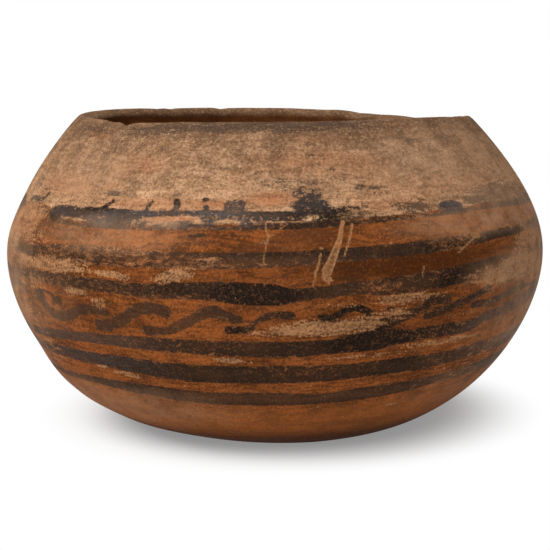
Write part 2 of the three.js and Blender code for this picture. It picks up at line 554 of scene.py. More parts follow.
# Bare cells left open in the shoulder's dark paint.
LADDER_CELLS = patches(
    (-44, 92.5, 3.8, 1, 1, -0.05), (-21.5, 94.6, 6, 1.1, 1, 0.12), (-14.9, 94.2, 1, 1),
    (-8.9, 93.7, 2.5, 1.3), (1.6, 94, 3.8, 0.3), (6.9, 95.1, 1.6, 1.1, 1, 0.3),
)

# Where a second brown coat of slip lies.
SECOND_SLIP = patches(
    (-3.2, 85.4, 5.4, 2, 1, 0.6), (4.2, 88.2, 6.6, 3.9, 1, 0.3), (-150, 88, 12, 2.6),
    (110, 88.5, 12, 2.4),
)

# Where the dark paint lies thicker or thinner than elsewhere.
COAT_CHANGES = patches(
    (-3.5, 70, 7, 5, 0.42), (15.5, 51, 6, 4.5, 0.3), (1, 49.8, 12, 4, -0.06), (24, 52, 8, 4, 0.1),
    (8, 97.5, 6, 3.5, 0.2), (-7, 57, 4, 2.5, 0.25), (38, 96.6, 4, 2.6, 0.12),
    (-36, 81, 24, 5, -0.16), (-12, 80.5, 12, 4, -0.26), (6, 80.6, 15, 2.4, -0.3),
    (20, 83, 9, 3, -0.1), (51, 85.8, 7, 2.6, 0.25), (39, 71.5, 8, 2.4, 0.3), (13.5, 62, 8, 4, 0.4),
    (-38, 98.2, 5, 2.2, 0.35), (-80, 98, 8, 8, 0.4), (-64, 97, 7, 4, 0.1),
    (-7.7, 99, 3.6, 3.6, -0.12), (-42, 69, 20, 5, -0.12), (14, 70.5, 8, 4, -0.22),
    (26, 71.5, 8, 3.5, -0.16), (48, 75, 10, 3.5, -0.16), (18, 95.4, 5, 2.5, -0.25),
    (-30, 60, 30, 8, -0.34), (38, 63, 18, 7, -0.08), (-45, 50, 22, 4, -0.3), (-12, 50, 12, 4, -0.1),
    (54, 57, 14, 5, -0.16), (45, 41, 18, 6, -0.2), (-52, 40, 18, 6, -0.2), (2, 39.5, 26, 4, -0.12),
    (0, 29.5, 34, 3.5, -0.34), (45, 32.5, 20, 4, -0.2), (-60, 30.5, 16, 5, -0.22),
    (150, 50, 70, 60, -0.14), (-130, 50, 45, 60, -0.14),
)

# Soft patches of wear and staining, by the value that they raise; the graphite, dust and brown
# patches also lay on painted sheen, painted reflection and painted shade.
SOFT_PATCHES = {
    Field.FLAKE: patches(
        (-38, 80.6, 24, 5, 0.6), (-14, 80, 13, 3, 0.52), (10, 79.8, 12, 1.6, 0.3),
        (36, 84.2, 8, 3.4, 0.6), (-22, 92.2, 10, 2.2, 0.5), (-60, 96, 8, 4, 0.45),
        (-37, 94.4, 1.4, 1, 0.6), (-8, 94, 12, 3, 0.3), (6.8, 105, 6, 3.6, 0.8),
        (20, 96, 8, 3.4, 0.66), (30, 95.2, 5, 2.6, 0.6), (46, 97, 6, 3, 0.4),
        (-44, 71, 22, 3.6, 0.4), (-22, 67.8, 10, 2, 0.35), (-7.4, 99.2, 1.2, 0.8, 0.5),
        (20, 71, 6, 4, 0.5), (30, 73.5, 9, 2, 0.3), (54, 75.5, 7, 3, 0.5), (36, 63, 18, 7, 0.22),
        (-22, 50.5, 16, 5, 0.16), (32, 52, 12, 4, 0.35), (54, 57, 14, 5, 0.4), (45, 42, 16, 6, 0.3),
        (6, 40.6, 12, 3, 0.3), (45, 32.5, 20, 4, 0.3), (-58, 30.5, 14, 5, 0.25),
        (130, 84, 24, 5, 0.65), (-150, 70, 22, 5, 0.55), (-115, 41, 22, 6, 0.45),
        (170, 60, 28, 8, 0.4), (-98, 60, 20, 40, 0.3), (104, 60, 20, 40, 0.3),
    ),
    # Grey graphite paint with a painted sheen: the grey stands in for light glinting on the
    # burnished paint.
    Field.GRAPHITE: patches(
        (-7.7, 99.4, 3.6, 3.4, 0.6), (-17, 95.5, 18, 5, 0.85), (-36, 93.6, 7, 3.4, 0.75),
        (-49, 95.5, 7, 3, 0.4), (7, 101, 7, 6, 0.4), (38, 96.5, 5, 3, 0.9), (29, 97, 4, 2.5, 0.7),
        (56, 96.5, 18, 5, 0.6), (-66, 97, 10, 5, 0.4), (-44, 49, 24, 8, 0.3),
        (-45, 40, 24, 8, 0.25), (60, 50, 24, 30, 0.35), (150, 96, 30, 5, 0.6),
        (-130, 94, 30, 5, 0.5),
    ),
    Field.WORN: patches(
        (-47, 76, 10.5, 3.4, 0.9), (-62, 86, 11, 6, 0.6), (-63, 93.4, 10, 4.4, 0.9),
        (-77, 80, 12, 6, 0.9), (-78, 90, 10, 3.5, 0.8), (-60, 75, 10, 4, 0.55),
        (-32.2, 75.2, 4.2, 1.3, 0.95), (-29, 74.1, 2.2, 1, 0.85),
        (-18.8, 75.6, 4.8, 2.8, 0.84, 0.35), (-12.2, 80.8, 3.6, 2.6, 0.55, 0.4),
        (-34, 81, 26, 4.6, 0.3), (-30, 84, 8, 1.6, 0.35), (-41.2, 67.4, 5, 1.9, 0.75),
        (-35.2, 64, 2.6, 3, 0.6), (-56, 68, 8, 4, 0.45), (9, 57.3, 11.5, 4, 0.85),
        (-1, 55.6, 7, 1.6, 0.5), (20, 60, 9, 3.6, 0.56, 0.2), (25, 66.3, 9.5, 2.6, 0.72),
        (12, 65, 5, 1.6, 0.35), (37, 58.6, 7, 2, 0.4), (52, 71.2, 14, 5, 0.95),
        (63, 78.5, 9, 8, 0.85), (58, 87.5, 9, 3, 0.45), (66, 68, 8, 8, 0.75),
        (36, 48.2, 12, 1.9, 0.62), (20, 45.8, 14, 1.6, 0.45), (-9.3, 45.4, 3.6, 1.4, 0.95),
        (-40, 38.4, 2.2, 1, 0.95), (-33, 36.4, 4.5, 1.3, 0.7, -0.1), (29, 23.4, 2.1, 1, 0.98),
        (-62, 42, 14, 12, 0.42), (-64, 58, 10, 8, 0.5), (0, 34, 60, 16, 0.16), (47, 42, 12, 8, 0.3),
        (52, 33, 16, 6, 0.3), (150, 62, 12, 5, 0.85), (118, 81, 10, 4, 0.8), (104, 60, 16, 10, 0.4),
        (-110, 60, 10, 6, 0.8), (-140, 78, 12, 4, 0.8), (-100, 82, 14, 8, 0.45),
        (-165, 45, 10, 4, 0.75), (178, 76, 9, 3, 0.7), (95, 44, 9, 4, 0.8), (140, 40, 20, 10, 0.35),
        (-135, 40, 22, 12, 0.35), (0, 0.5, 400, 1.5, 0.4),
    ),
    Field.SOOT: patches(
        (55, 99, 13, 4.6, 0.95), (68, 97.4, 9, 4.4, 0.85), (29.2, 97.2, 4, 3.4, 0.86),
        (24.8, 98.2, 1.6, 1.4, 0.6), (17.6, 104.3, 1.5, 1.2, 0.7), (20.8, 104, 1.5, 1.2, 0.75),
        (18.2, 98.8, 1.3, 1.2, 0.7), (-28, 125.2, 10, 3.4, 0.66), (-14, 126, 11, 4.2, 0.78),
        (3, 126.6, 14, 4.6, 0.86), (18, 126.8, 10, 4, 0.6), (-38, 124, 6, 3.4, 0.55),
        (-56, 123, 10, 4, 0.4), (34.5, 119.2, 1.8, 2, 0.9), (-36.4, 102.6, 3.4, 1.4, 0.85),
        (8, 115.6, 1.5, 0.8, 0.6), (12.5, 111, 0.9, 0.7, 0.8), (-60, 101, 6, 3, 0.35),
        (46, 119, 8, 4, 0.3), (3, 106, 8, 3, 0.45), (6.9, 95.1, 2.2, 1.8, 0.62),
        (160, 118, 16, 5, 0.6), (-120, 118, 14, 6, 0.55), (95, 110, 12, 6, 0.5),
        (-165, 105, 10, 5, 0.45),
    ),
    Field.FLUSH: patches(
        (-20.5, 94.8, 8, 2, 0.6), (-0.5, 101.4, 5.5, 3, 0.85), (-11.5, 99.6, 4.5, 2, 0.7),
        (10, 113, 16, 6, 0.3), (-32, 112, 8, 5, 0.4), (-50, 104, 14, 6, 0.45),
        (-25, 99.5, 16, 2.6, 0.5), (24, 98.6, 9, 2.6, 0.5), (40, 104, 16, 5, 0.25),
        (-52, 122, 6, 2, 0.4), (12, 121, 10, 2.4, 0.2), (140, 102, 18, 6, 0.6),
        (-130, 105, 16, 6, 0.6), (100, 120, 14, 4, 0.5),
    ),
    # Dust, together with a painted sheen on the upper left of the belly and a painted reflection of
    # the pale surroundings along the sides and lower left.
    Field.DUST: patches(
        (-36, 88.5, 20, 7, 0.6), (-22, 92.8, 5, 1.8, 0.7), (46, 90.5, 22, 6, 0.95),
        (50, 112, 30, 15, 0.75), (-46, 108, 18, 10, 0.6), (56, 71, 16, 8, 0.8),
        (-76, 66, 20, 38, 1), (77, 66, 22, 50, 1), (-44, 22, 34, 13, 0.6), (-56, 62, 14, 14, 0.35),
        (54, 98, 13, 5, 0.9), (60, 52, 18, 14, 0.5), (50, 26, 20, 12, 0.3), (170, 60, 26, 40, 0.45),
        (-140, 50, 26, 40, 0.4),
    ),
    # Browned slip; the wide band low round the foot is a painted shade where the bowl meets the
    # floor.
    Field.BROWN: patches(
        (0, 78, 400, 7, 0.3), (26, 79, 24, 6, 0.75), (4, 88, 20, 6, 0.16), (-6, 62, 16, 6, 0.16),
        (30, 58, 30, 10, 0.25), (0, 4.8, 400, 17, 0.85), (-34, 20, 14, 3, 0.3),
        (22, 16, 16, 3, 0.3), (150, 60, 40, 14, 0.25), (-130, 75, 40, 12, 0.25),
    ),
}

# One stroke of the frieze at the back, as (turn, height, share of the sway).
FRIEZE_STROKE = (
    (0, 56, 0), (4, 56.2, 0), (7.5, 58.6, 0), (10.5, 62, 1), (13.5, 63.4, 1), (16.5, 62.6, 0),
    (18.5, 61.2, 1),
)


@dataclass(frozen=True)
class SkinPlaces:
    """Where points of the outer skin lie: in mm, as azimuths, and as distances up the wall."""

    points: np.ndarray
    azimuth: np.ndarray
    distance: np.ndarray


@dataclass
class PaintScheme:
    """Everything painted on, burnished into or worn off the outside of the bowl."""

    section: Section
    far: float = 9.0
    coat: float = 0.92
    slip_lift: float = 2.0
    fade_start: float = 0.35
    fade_end: float = 1.35
    curve_steps: int = 5
    frieze_start: float = 76.0
    frieze_end: float = 300.0
    frieze_step: float = 14.6
    frieze_lift: float = 2.6
    frieze_swing: float = 1.2
    frieze_swing_turn: float = 0.45
    frieze_swing_start: float = 0.6
    frieze_sway_turn: float = 2.3
    frieze_width: float = 2.0
    frieze_width_sway: float = 0.25
    frieze_end_width: float = 1.5

    def surface_point(self, place: Place) -> np.ndarray:
        """Finds the outer skin's point at an azimuth and height, in millimetres.

        Args:
            place: The azimuth in degrees and the height.

        Returns:
            The point.
        """
        radius = np.interp(place[1], self.section.skin[:, 1], self.section.skin[:, 0])
        turn = math.radians(place[0])
        return np.array([radius * math.sin(turn), -radius * math.cos(turn), place[1]])

    def smooth_points(self, stroke: Stroke) -> list[Place]:
        """Bends a stroke smoothly through its points.

        Args:
            stroke: The stroke.

        Returns:
            The finer points.
        """
        raw = [np.array(point, float) for point in stroke.points]
        ends = [2 * raw[0] - raw[1], *raw, 2 * raw[-1] - raw[-2]]
        found = []
        for i in range(1, len(ends) - 2):
            before, start, end, after = ends[i - 1:i + 3]
            for step in range(self.curve_steps):
                t = step / self.curve_steps
                found.append(tuple(0.5 * (
                    2 * start + (end - before) * t
                    + (2 * before - 5 * start + 4 * end - after) * t * t
                    + (3 * start - before - 3 * end + after) * t**3
                )))
        return found + [tuple(raw[-1])]

    def stroke_distance(self, stroke: Stroke, points: np.ndarray, so_far: np.ndarray) -> None:
        """Lowers so_far to the signed distance from a stroke's edge, negative in the paint.

        Args:
            stroke: The stroke.
            points: The outer skin's points, in millimetres.
            so_far: The distances found so far, changed in place.
        """
        line = np.array([self.surface_point(place) for place in self.smooth_points(stroke)])
        widths = np.linspace(stroke.half_width, stroke.end_half_width, len(line))
        reach = self.far + widths.max()
        near = np.all((points > line.min(0) - reach) & (points < line.max(0) + reach), axis=1)
        index = np.flatnonzero(near)
        best = so_far[index]
        for start, end, wide, next_wide in zip(line[:-1], line[1:], widths[:-1], widths[1:]):
            along = end - start
            share = np.clip((points[index] - start) @ along / max(along @ along, 1e-9), 0, 1)
            gap = np.linalg.norm(points[index] - start - share[:, None] * along, axis=1)
            best = np.minimum(best, gap - (wide + (next_wide - wide) * share))
        so_far[index] = best

    def patch_measure(self, patch: Patch, places: SkinPlaces) -> np.ndarray:
        """Measures how far each place is from a patch's middle, where 1 is its edge.

        Args:
            patch: The patch.
            places: The places.

        Returns:
            The measures.
        """
        turn = np.mod(places.azimuth - patch.azimuth + 180.0, FULL_TURN) - 180.0
        lift = places.distance - self.section.distance_at(patch.height) - patch.slant * turn
        return np.hypot(turn / patch.half_turn, lift / patch.half_height)

    def patch_share(self, patch: Patch, places: SkinPlaces) -> np.ndarray:
        """Gives a soft patch's strength at each place, fading out across its edge."""
        measure = self.patch_measure(patch, places)
        return patch.strength * (1.0 - smooth_step(measure, self.fade_start, self.fade_end))

    def patches_distance(self, group: tuple[Patch, ...], places: SkinPlaces) -> np.ndarray:
        """Gives the signed distance to a group of patches, in millimetres, negative inside.

        Args:
            group: The patches.
            places: The places.

        Returns:
            The distances.
        """
        found = np.full(len(places.azimuth), self.far)
        for patch in group:
            width = math.radians(patch.half_turn) * self.section.shape.belly_radius
            edge = (self.patch_measure(patch, places) - 1.0) * min(width, patch.half_height)
            found = np.minimum(found, edge)
        return found

    def patches_weight(self, group: tuple[Patch, ...], places: SkinPlaces) -> np.ndarray:
        """Lays soft patches over each other and gives their weight, from 0 to 1.

        Args:
            group: The patches.
            places: The places.

        Returns:
            The weights.
        """
        clear = np.ones(len(places.azimuth))
        for patch in group:
            clear *= 1.0 - self.patch_share(patch, places)
        return 1.0 - clear

    def coat_thickness(self, places: SkinPlaces) -> np.ndarray:
        """Gives how thick the dark paint lies, where 1 is black and 0 is bare.

        Args:
            places: The places.

        Returns:
            The thicknesses.
        """
        found = np.full(len(places.azimuth), self.coat)
        for patch in COAT_CHANGES:
            found += self.patch_share(patch, places)
        return found

    def band_distance(self, band: Band, places: SkinPlaces) -> np.ndarray:
        """Gives the signed distance to a band, in millimetres, negative in the paint.

        Args:
            band: The band.
            places: The places.

        Returns:
            The distances.
        """
        upper = self.section.distance_at(ring_curve(band.upper, places.azimuth))
        lower = self.section.distance_at(ring_curve(band.lower, places.azimuth))
        return np.maximum(places.distance - upper, lower - places.distance)

    def back_frieze(self) -> list[Stroke]:
        """Carries the row of lying S strokes on round the side that the front doesn't show.

        Returns:
            The strokes.
        """
        strokes = []
        for i in range(int((self.frieze_end - self.frieze_start) / self.frieze_step)):
            start = self.frieze_start + i * self.frieze_step
            sway = math.sin(i * self.frieze_sway_turn)
            swing = math.sin(i * self.frieze_swing_turn + self.frieze_swing_start)
            lift = self.frieze_lift + self.frieze_swing * swing
            width = self.frieze_width + self.frieze_width_sway * sway
            points = tuple((start + turn + swaying * sway, height + lift)
                           for turn, height, swaying in FRIEZE_STROKE)
            strokes.append(Stroke(points, width, self.frieze_end_width))
        return strokes

    def fields(self, places: SkinPlaces) -> dict[Field, np.ndarray]:
        """Works out every painted and worn value of the outer skin.

        Args:
            places: Where its points lie.

        Returns:
            An array for each Field but INSIDE and ALONG.
        """
        black = self.patches_distance(BLOTS, places)
        for band in BANDS.values():
            black = np.minimum(black, self.band_distance(band, places))
        for stroke in [*FRONT_STROKES, *SHOULDER_STROKES, *self.back_frieze()]:
            self.stroke_distance(stroke, places.points, black)
        scratch = np.full(len(places.azimuth), self.far)
        for stroke in SCRATCHES:
            self.stroke_distance(stroke, places.points, scratch)
        slip_edge = ring_curve(BANDS["shoulder_line"].lower, places.azimuth) + self.slip_lift
        above_slip = places.distance - self.section.distance_at(slip_edge)
        values = {
            Field.BLACK: np.maximum(black, -self.patches_distance(LADDER_CELLS, places)),
            Field.COAT: self.coat_thickness(places),
            Field.SLIP: np.clip(above_slip, -self.far, self.far),
            Field.SCRATCH: scratch,
            Field.SECOND_SLIP: self.patches_distance(SECOND_SLIP, places),
        }
        for name, group in SOFT_PATCHES.items():
            values[name] = self.patches_weight(group, places)
        return values


class NodeBench:
    """Adds and links nodes in one shader tree."""

    # Where a mix node keeps its share, its two colours and the mixed one.
    mix_inputs = (0, 6, 7)
    mix_output = 2

    def __init__(self, tree: bpy.types.NodeTree) -> None:
        """Keeps the tree that the nodes go into."""
        self.tree = tree

    def feed(self, socket: bpy.types.NodeSocket, value: object) -> None:
        """Links an input, or sets its value.

        Args:
            socket: The input.
            value: A socket, a number or a colour. None leaves the input alone.
        """
        if isinstance(value, Socket):
            self.tree.links.new(value, socket)
        elif value is not None:
            socket.default_value = value

    def add(self, kind: str, **settings: object) -> bpy.types.Node:
        """Adds a node and sets its properties by name.

        Args:
            kind: The node's type.
            settings: Its properties by name.

        Returns:
            The node.
        """
        node = self.tree.nodes.new(kind)
        for name, value in settings.items():
            setattr(node, name, value)
        return node

    def fed(self, kind: str, *values: object, **settings: object) -> bpy.types.Node:
        """Adds a node and feeds its inputs in order.

        Args:
            kind: The node's type.
            values: What its inputs get.
            settings: Its properties by name.

        Returns:
            The node.
        """
        node = self.add(kind, **settings)
        for socket, value in zip(node.inputs, values):
            self.feed(socket, value)
        return node

    def maths(self, operation: str, first: object, second: object = None, third: object = None,
              clamp: bool = False) -> Socket:
        """Does one sum on values.

        Args:
            operation: The sum.
            first: The first value.
            second: The second value.
            third: The third value.
            clamp: Whether the result is kept between 0 and 1.

        Returns:
            The result.
        """
        node = self.fed("ShaderNodeMath", first, second, third, operation=operation,
                        use_clamp=clamp)
        return node.outputs[0]

    def times(self, first: object, second: object) -> Socket:
        """Multiplies two values."""
        return self.maths("MULTIPLY", first, second)

    def line(self, value: object, slope: object, start: object, clamp: bool = False) -> Socket:
        """Gives a value times a slope, plus a start."""
        return self.maths("MULTIPLY_ADD", value, slope, start, clamp)

    def rest(self, share: object) -> Socket:
        """Gives what a share leaves of 1."""
        return self.maths("SUBTRACT", 1.0, share)

    def ease(self, value: object, low: object, high: object) -> Socket:
        """Eases a value from 0 at low to 1 at high."""
        node = self.fed("ShaderNodeMapRange", value, low, high, interpolation_type="SMOOTHSTEP")
        return node.outputs["Result"]

    def blend(self, share: object, below: object, above: object) -> Socket:
        """Mixes two colours.

        Args:
            share: How much of the upper one shows.
            below: The colour below.
            above: The colour above.

        Returns:
            The mixed colour.
        """
        node = self.add("ShaderNodeMix", data_type="RGBA")
        for index, value in zip(self.mix_inputs, (share, below, above)):
            self.feed(node.inputs[index], value)
        return node.outputs[self.mix_output]

    def noise(self, vector: object, scale: object, detail: float, roughness: float) -> Socket:
        """Reads soft noise.

        Args:
            vector: Where it is read.
            scale: Spots for each unit of the vector.
            detail: How many finer layers it has.
            roughness: How strong the finer layers are.

        Returns:
            The noise, about 0.5 on the whole.
        """
        node = self.add("ShaderNodeTexNoise", noise_dimensions="3D")
        values = {"Vector": vector, "Scale": scale, "Detail": detail, "Roughness": roughness}
        for label, value in values.items():
            self.feed(node.inputs[label], value)
        return node.outputs["Fac"]

    def field(self, name: Field) -> Socket:
        """Reads one of the surface's own values."""
        return self.add("ShaderNodeAttribute", attribute_name=name.value).outputs["Fac"]

    def seen_directly(self) -> Socket:
        """Gives 1 to the camera and in gloss or glass, and 0 to light that only falls.

        Returns:
            The mask.
        """
        rays = self.add("ShaderNodeLightPath").outputs
        direct = self.maths("MAXIMUM", rays["Is Camera Ray"], rays["Is Glossy Ray"])
        return self.maths("MAXIMUM", direct, rays["Is Transmission Ray"])


def colour(red: int, green: int, blue: int) -> Colour:
    """Turns a colour as seen on a screen into the light that a shader works in.

    Args:
        red: From 0 to 255.
        green: From 0 to 255.
        blue: From 0 to 255.

    Returns:
        The linear colour with full alpha.
    """
    linear = [c / 12.92 if c <= 0.04045 else ((c + 0.055) / 1.055) ** 2.4
              for c in (red / 255, green / 255, blue / 255)]
    return (*linear, 1.0)


class Group:
    """One shader node group with named sockets, and a bench on it."""

    def __init__(self, name: str, outputs: tuple[str, ...], placed: bool = True,
                 **inputs: float) -> None:
        """Starts the group.

        Args:
            name: The group's name.
            outputs: The names of its outputs.
            placed: Whether it is read at a place, which its first input then gives.
            inputs: The first value of each other input, by name.
        """
        self.tree = bpy.data.node_groups.new(name, "ShaderNodeTree")
        sockets = self.tree.interface
        if placed:
            sockets.new_socket(name="Vector", in_out="INPUT", socket_type="NodeSocketVector")
        for label, value in inputs.items():
            socket = sockets.new_socket(name=label, in_out="INPUT", socket_type="NodeSocketFloat")
            socket.default_value = value
        for label in outputs:
            sockets.new_socket(name=label, in_out="OUTPUT", socket_type="NodeSocketFloat")
        self.bench = NodeBench(self.tree)
        self.given = self.bench.add("NodeGroupInput").outputs
        self.result = self.bench.add("NodeGroupOutput").inputs

    def give(self, label: str, value: Socket) -> None:
        """Feeds one of the group's outputs."""
        self.bench.feed(self.result[label], value)

    def stretched(self, share: float, along: Socket) -> Socket:
        """Makes a vector in which a pattern lies drawn out round the bowl.

        Args:
            share: How much of the real length round the bowl counts.
            along: The distance up the wall.

        Returns:
            The vector.
        """
        parts = self.bench.fed("ShaderNodeSeparateXYZ", self.given["Vector"]).outputs
        sideways = [self.bench.times(parts[axis], share) for axis in "XY"]
        return self.bench.fed("ShaderNodeCombineXYZ", *sideways, along).outputs["Vector"]


@dataclass(frozen=True)
class EdgeLook:
    """How an edge wanders: its reach in mm, its spots for each mm and half its blur in mm."""

    ragged: float
    scale: float
    softness: float


@dataclass(frozen=True)
class Grains:
    """Fine grains in a coat: how many for each mm, and how much dark and pale ones cover."""

    scale: float
    dark: float
    pale: float


@dataclass(frozen=True)
class Tint:
    """A colour laid on by a reading: where it starts, where it is full, and how much it covers."""

    low: float
    high: float
    share: float


class ClayGroups:
    """The shader node groups that the bowl's layers share, each built once."""

    reading_low = 0.3
    reading_high = 0.7
    apart_shift = (310.0, 170.0, 50.0)
    waver = (0.05, 2.0, 0.55)
    waver_reach = 9.0
    wiped_stretch = 0.13
    chipped_stretch = 0.5
    dragged_stretch = 0.4
    drift_to_cloud = 2.6
    edge_swing = 3.0
    least_speck = 0.4
    speck_middle = 0.6
    dark_grains = (0.53, 0.66)
    pale_grains = (0.46, 0.33)

    def __init__(self) -> None:
        """Builds every group."""
        self.wiped_grain = self.build_wiped_grain()
        self.broken_edge = self.build_broken_edge()
        self.flaking = self.build_flaking()
        self.grit_specks = self.build_grit_specks()
        self.speckle = self.build_speckle()

    def build_wiped_grain(self) -> bpy.types.NodeTree:
        """Gives the clay's grain, and the marks of wiping and burnishing round the bowl.

        Returns:
            The group's tree.
        """
        group = Group("wiped_grain", ("Streak", "Grain", "Fleck", "Chip", "Cloud", "Drift"),
                      **{"Along": 0.0, "Streak Scale": 0.75, "Grain Scale": 1.25,
                         "Cloud Scale": 0.05})
        bench, given = group.bench, group.given
        where = given["Vector"]
        waver = bench.maths("SUBTRACT", bench.noise(where, *self.waver), 0.5)
        along = bench.line(waver, self.waver_reach, given["Along"])
        wiped = group.stretched(self.wiped_stretch, along)
        chipped = group.stretched(self.chipped_stretch, along)
        apart = bench.fed("ShaderNodeVectorMath", where, self.apart_shift,
                          operation="ADD").outputs["Vector"]
        drift_scale = bench.times(given["Cloud Scale"], self.drift_to_cloud)
        readings = {
            "Streak": bench.noise(wiped, given["Streak Scale"], 4.0, 0.62),
            "Grain": bench.noise(where, given["Grain Scale"], 3.0, 0.7),
            "Fleck": bench.noise(apart, 0.6, 5.0, 0.75),
            "Chip": bench.noise(chipped, 0.8, 4.0, 0.72),
            "Cloud": bench.noise(where, given["Cloud Scale"], 3.0, 0.55),
            "Drift": bench.noise(apart, drift_scale, 4.0, 0.6),
        }
        for label, value in readings.items():
            group.give(label, bench.ease(value, self.reading_low, self.reading_high))
        return group.tree

    def build_broken_edge(self) -> bpy.types.NodeTree:
        """Turns a distance into a mask whose edge wavers and is dragged round the bowl.

        Returns:
            The group's tree.
        """
        group = Group("broken_edge", ("Mask",), Distance=0.0, Ragged=0.8, Scale=0.9,
                      Softness=0.2, Along=0.0)
        bench, given = group.bench, group.given
        dragged = group.stretched(self.dragged_stretch, given["Along"])
        spots = bench.noise(dragged, given["Scale"], 5.0, 0.68)
        shift = bench.times(bench.maths("SUBTRACT", spots, 0.5), self.edge_swing)
        moved = bench.line(shift, given["Ragged"], given["Distance"])
        inner = bench.times(given["Softness"], -1.0)
        group.give("Mask", bench.ease(moved, given["Softness"], inner))
        return group.tree

    def build_flaking(self) -> bpy.types.NodeTree:
        """Breaks a coat into flecks where little of it is left.

        Returns:
            The group's tree.
        """
        group = Group("flaking", ("Mask",), False, Coat=1.0, Pattern=0.5, Softness=0.1)
        bench, given = group.bench, group.given
        left = bench.maths("SUBTRACT", given["Coat"], given["Pattern"])
        inner = bench.times(given["Softness"], -1.0)
        group.give("Mask", bench.ease(left, inner, given["Softness"]))
        return group.tree

    def build_grit_specks(self) -> bpy.types.NodeTree:
        """Scatters single grains of grit: pale ones, and the dark pits that others left.

        Returns:
            The group's tree.
        """
        group = Group("grit_specks", ("Pale", "Dark"), Scale=0.25, Size=0.07, Share=0.3)
        bench, given = group.bench, group.given
        cells = bench.add("ShaderNodeTexVoronoi", feature="F1")
        bench.feed(cells.inputs["Vector"], given["Vector"])
        bench.feed(cells.inputs["Scale"], given["Scale"])
        draws = bench.fed("ShaderNodeSeparateColor", cells.outputs["Color"]).outputs
        spread = bench.maths("ADD", draws["Green"], self.least_speck)
        size = bench.times(given["Size"], spread)
        middle = bench.times(size, self.speck_middle)
        dot = bench.ease(cells.outputs["Distance"], size, middle)
        pale = bench.maths("LESS_THAN", draws["Red"], given["Share"])
        dark = bench.maths("GREATER_THAN", draws["Red"], bench.rest(given["Share"]))
        group.give("Pale", bench.times(dot, pale))
        group.give("Dark", bench.times(dot, dark))
        return group.tree

    def build_speckle(self) -> bpy.types.NodeTree:
        """Covers a coat with fine pale and dark grains, each about as wide as the scale gives.

        Returns:
            The group's tree.
        """
        group = Group("speckle", ("Pale", "Dark"), Scale=1.3, Roughness=0.7)
        bench, given = group.bench, group.given
        fine = bench.noise(given["Vector"], given["Scale"], 2.0, given["Roughness"])
        group.give("Dark", bench.ease(fine, *self.dark_grains))
        group.give("Pale", bench.ease(fine, *self.pale_grains))
        return group.tree


class ClayBench(NodeBench):
    """A bench on the clay's material, which has the grain, the pits and the place at hand."""

    def __init__(self, tree: bpy.types.NodeTree, groups: ClayGroups, pits: dict[str, float]
                 ) -> None:
        """Places the shared groups that every layer reads.

        Args:
            tree: The material's tree.
            groups: The shared groups.
            pits: What the group of grit specks is given.
        """
        super().__init__(tree)
        self.groups = groups
        place = self.add("ShaderNodeTexCoord").outputs["Object"]
        scaled = self.fed("ShaderNodeVectorMath", place, operation="SCALE")
        scaled.inputs["Scale"].default_value = 1.0 / MM
        self.where = scaled.outputs["Vector"]
        self.along = self.field(Field.ALONG)
        self.grain = self.place(groups.wiped_grain, Along=self.along)
        self.pits = self.place(groups.grit_specks, **pits)

    def place(self, group: bpy.types.NodeTree, **values: object
              ) -> bpy.types.bpy_prop_collection:
        """Places a group where the surface is, and feeds its other inputs.

        Args:
            group: The group.
            values: Its inputs by name.

        Returns:
            The outputs of the group's node.
        """
        node = self.add("ShaderNodeGroup", node_tree=group)
        if "Vector" in node.inputs:
            self.feed(node.inputs["Vector"], self.where)
        for name, value in values.items():
            self.feed(node.inputs[name], value)
        return node.outputs

    def mixture(self, **shares: float) -> Socket:
        """Adds up shares of the grain's readings, each given by its name.

        Args:
            shares: Each reading's share.

        Returns:
            The sum.
        """
        total = None
        for name, share in shares.items():
            reading = self.grain[name]
            total = self.times(reading, share) if total is None else self.line(
                reading, share, total)
        return total

    def edge(self, name: Field, look: EdgeLook) -> Socket:
        """Breaks the edge of one of the surface's distances.

        Args:
            name: The distance to read.
            look: How the edge wanders.

        Returns:
            The mask, 1 inside.
        """
        return self.place(self.groups.broken_edge, Distance=self.field(name), Ragged=look.ragged,
                          Scale=look.scale, Softness=look.softness, Along=self.along)["Mask"]

    def tinted(self, below: Socket, above: object, reading: Socket, tint: Tint) -> Socket:
        """Lays a colour over another where a reading calls for it.

        Args:
            below: The colour below.
            above: The colour laid over it.
            reading: The reading.
            tint: Where it starts, where it is full, and how much it covers.

        Returns:
            The tinted colour.
        """
        return self.blend(self.times(self.ease(reading, tint.low, tint.high), tint.share),
                          below, above)


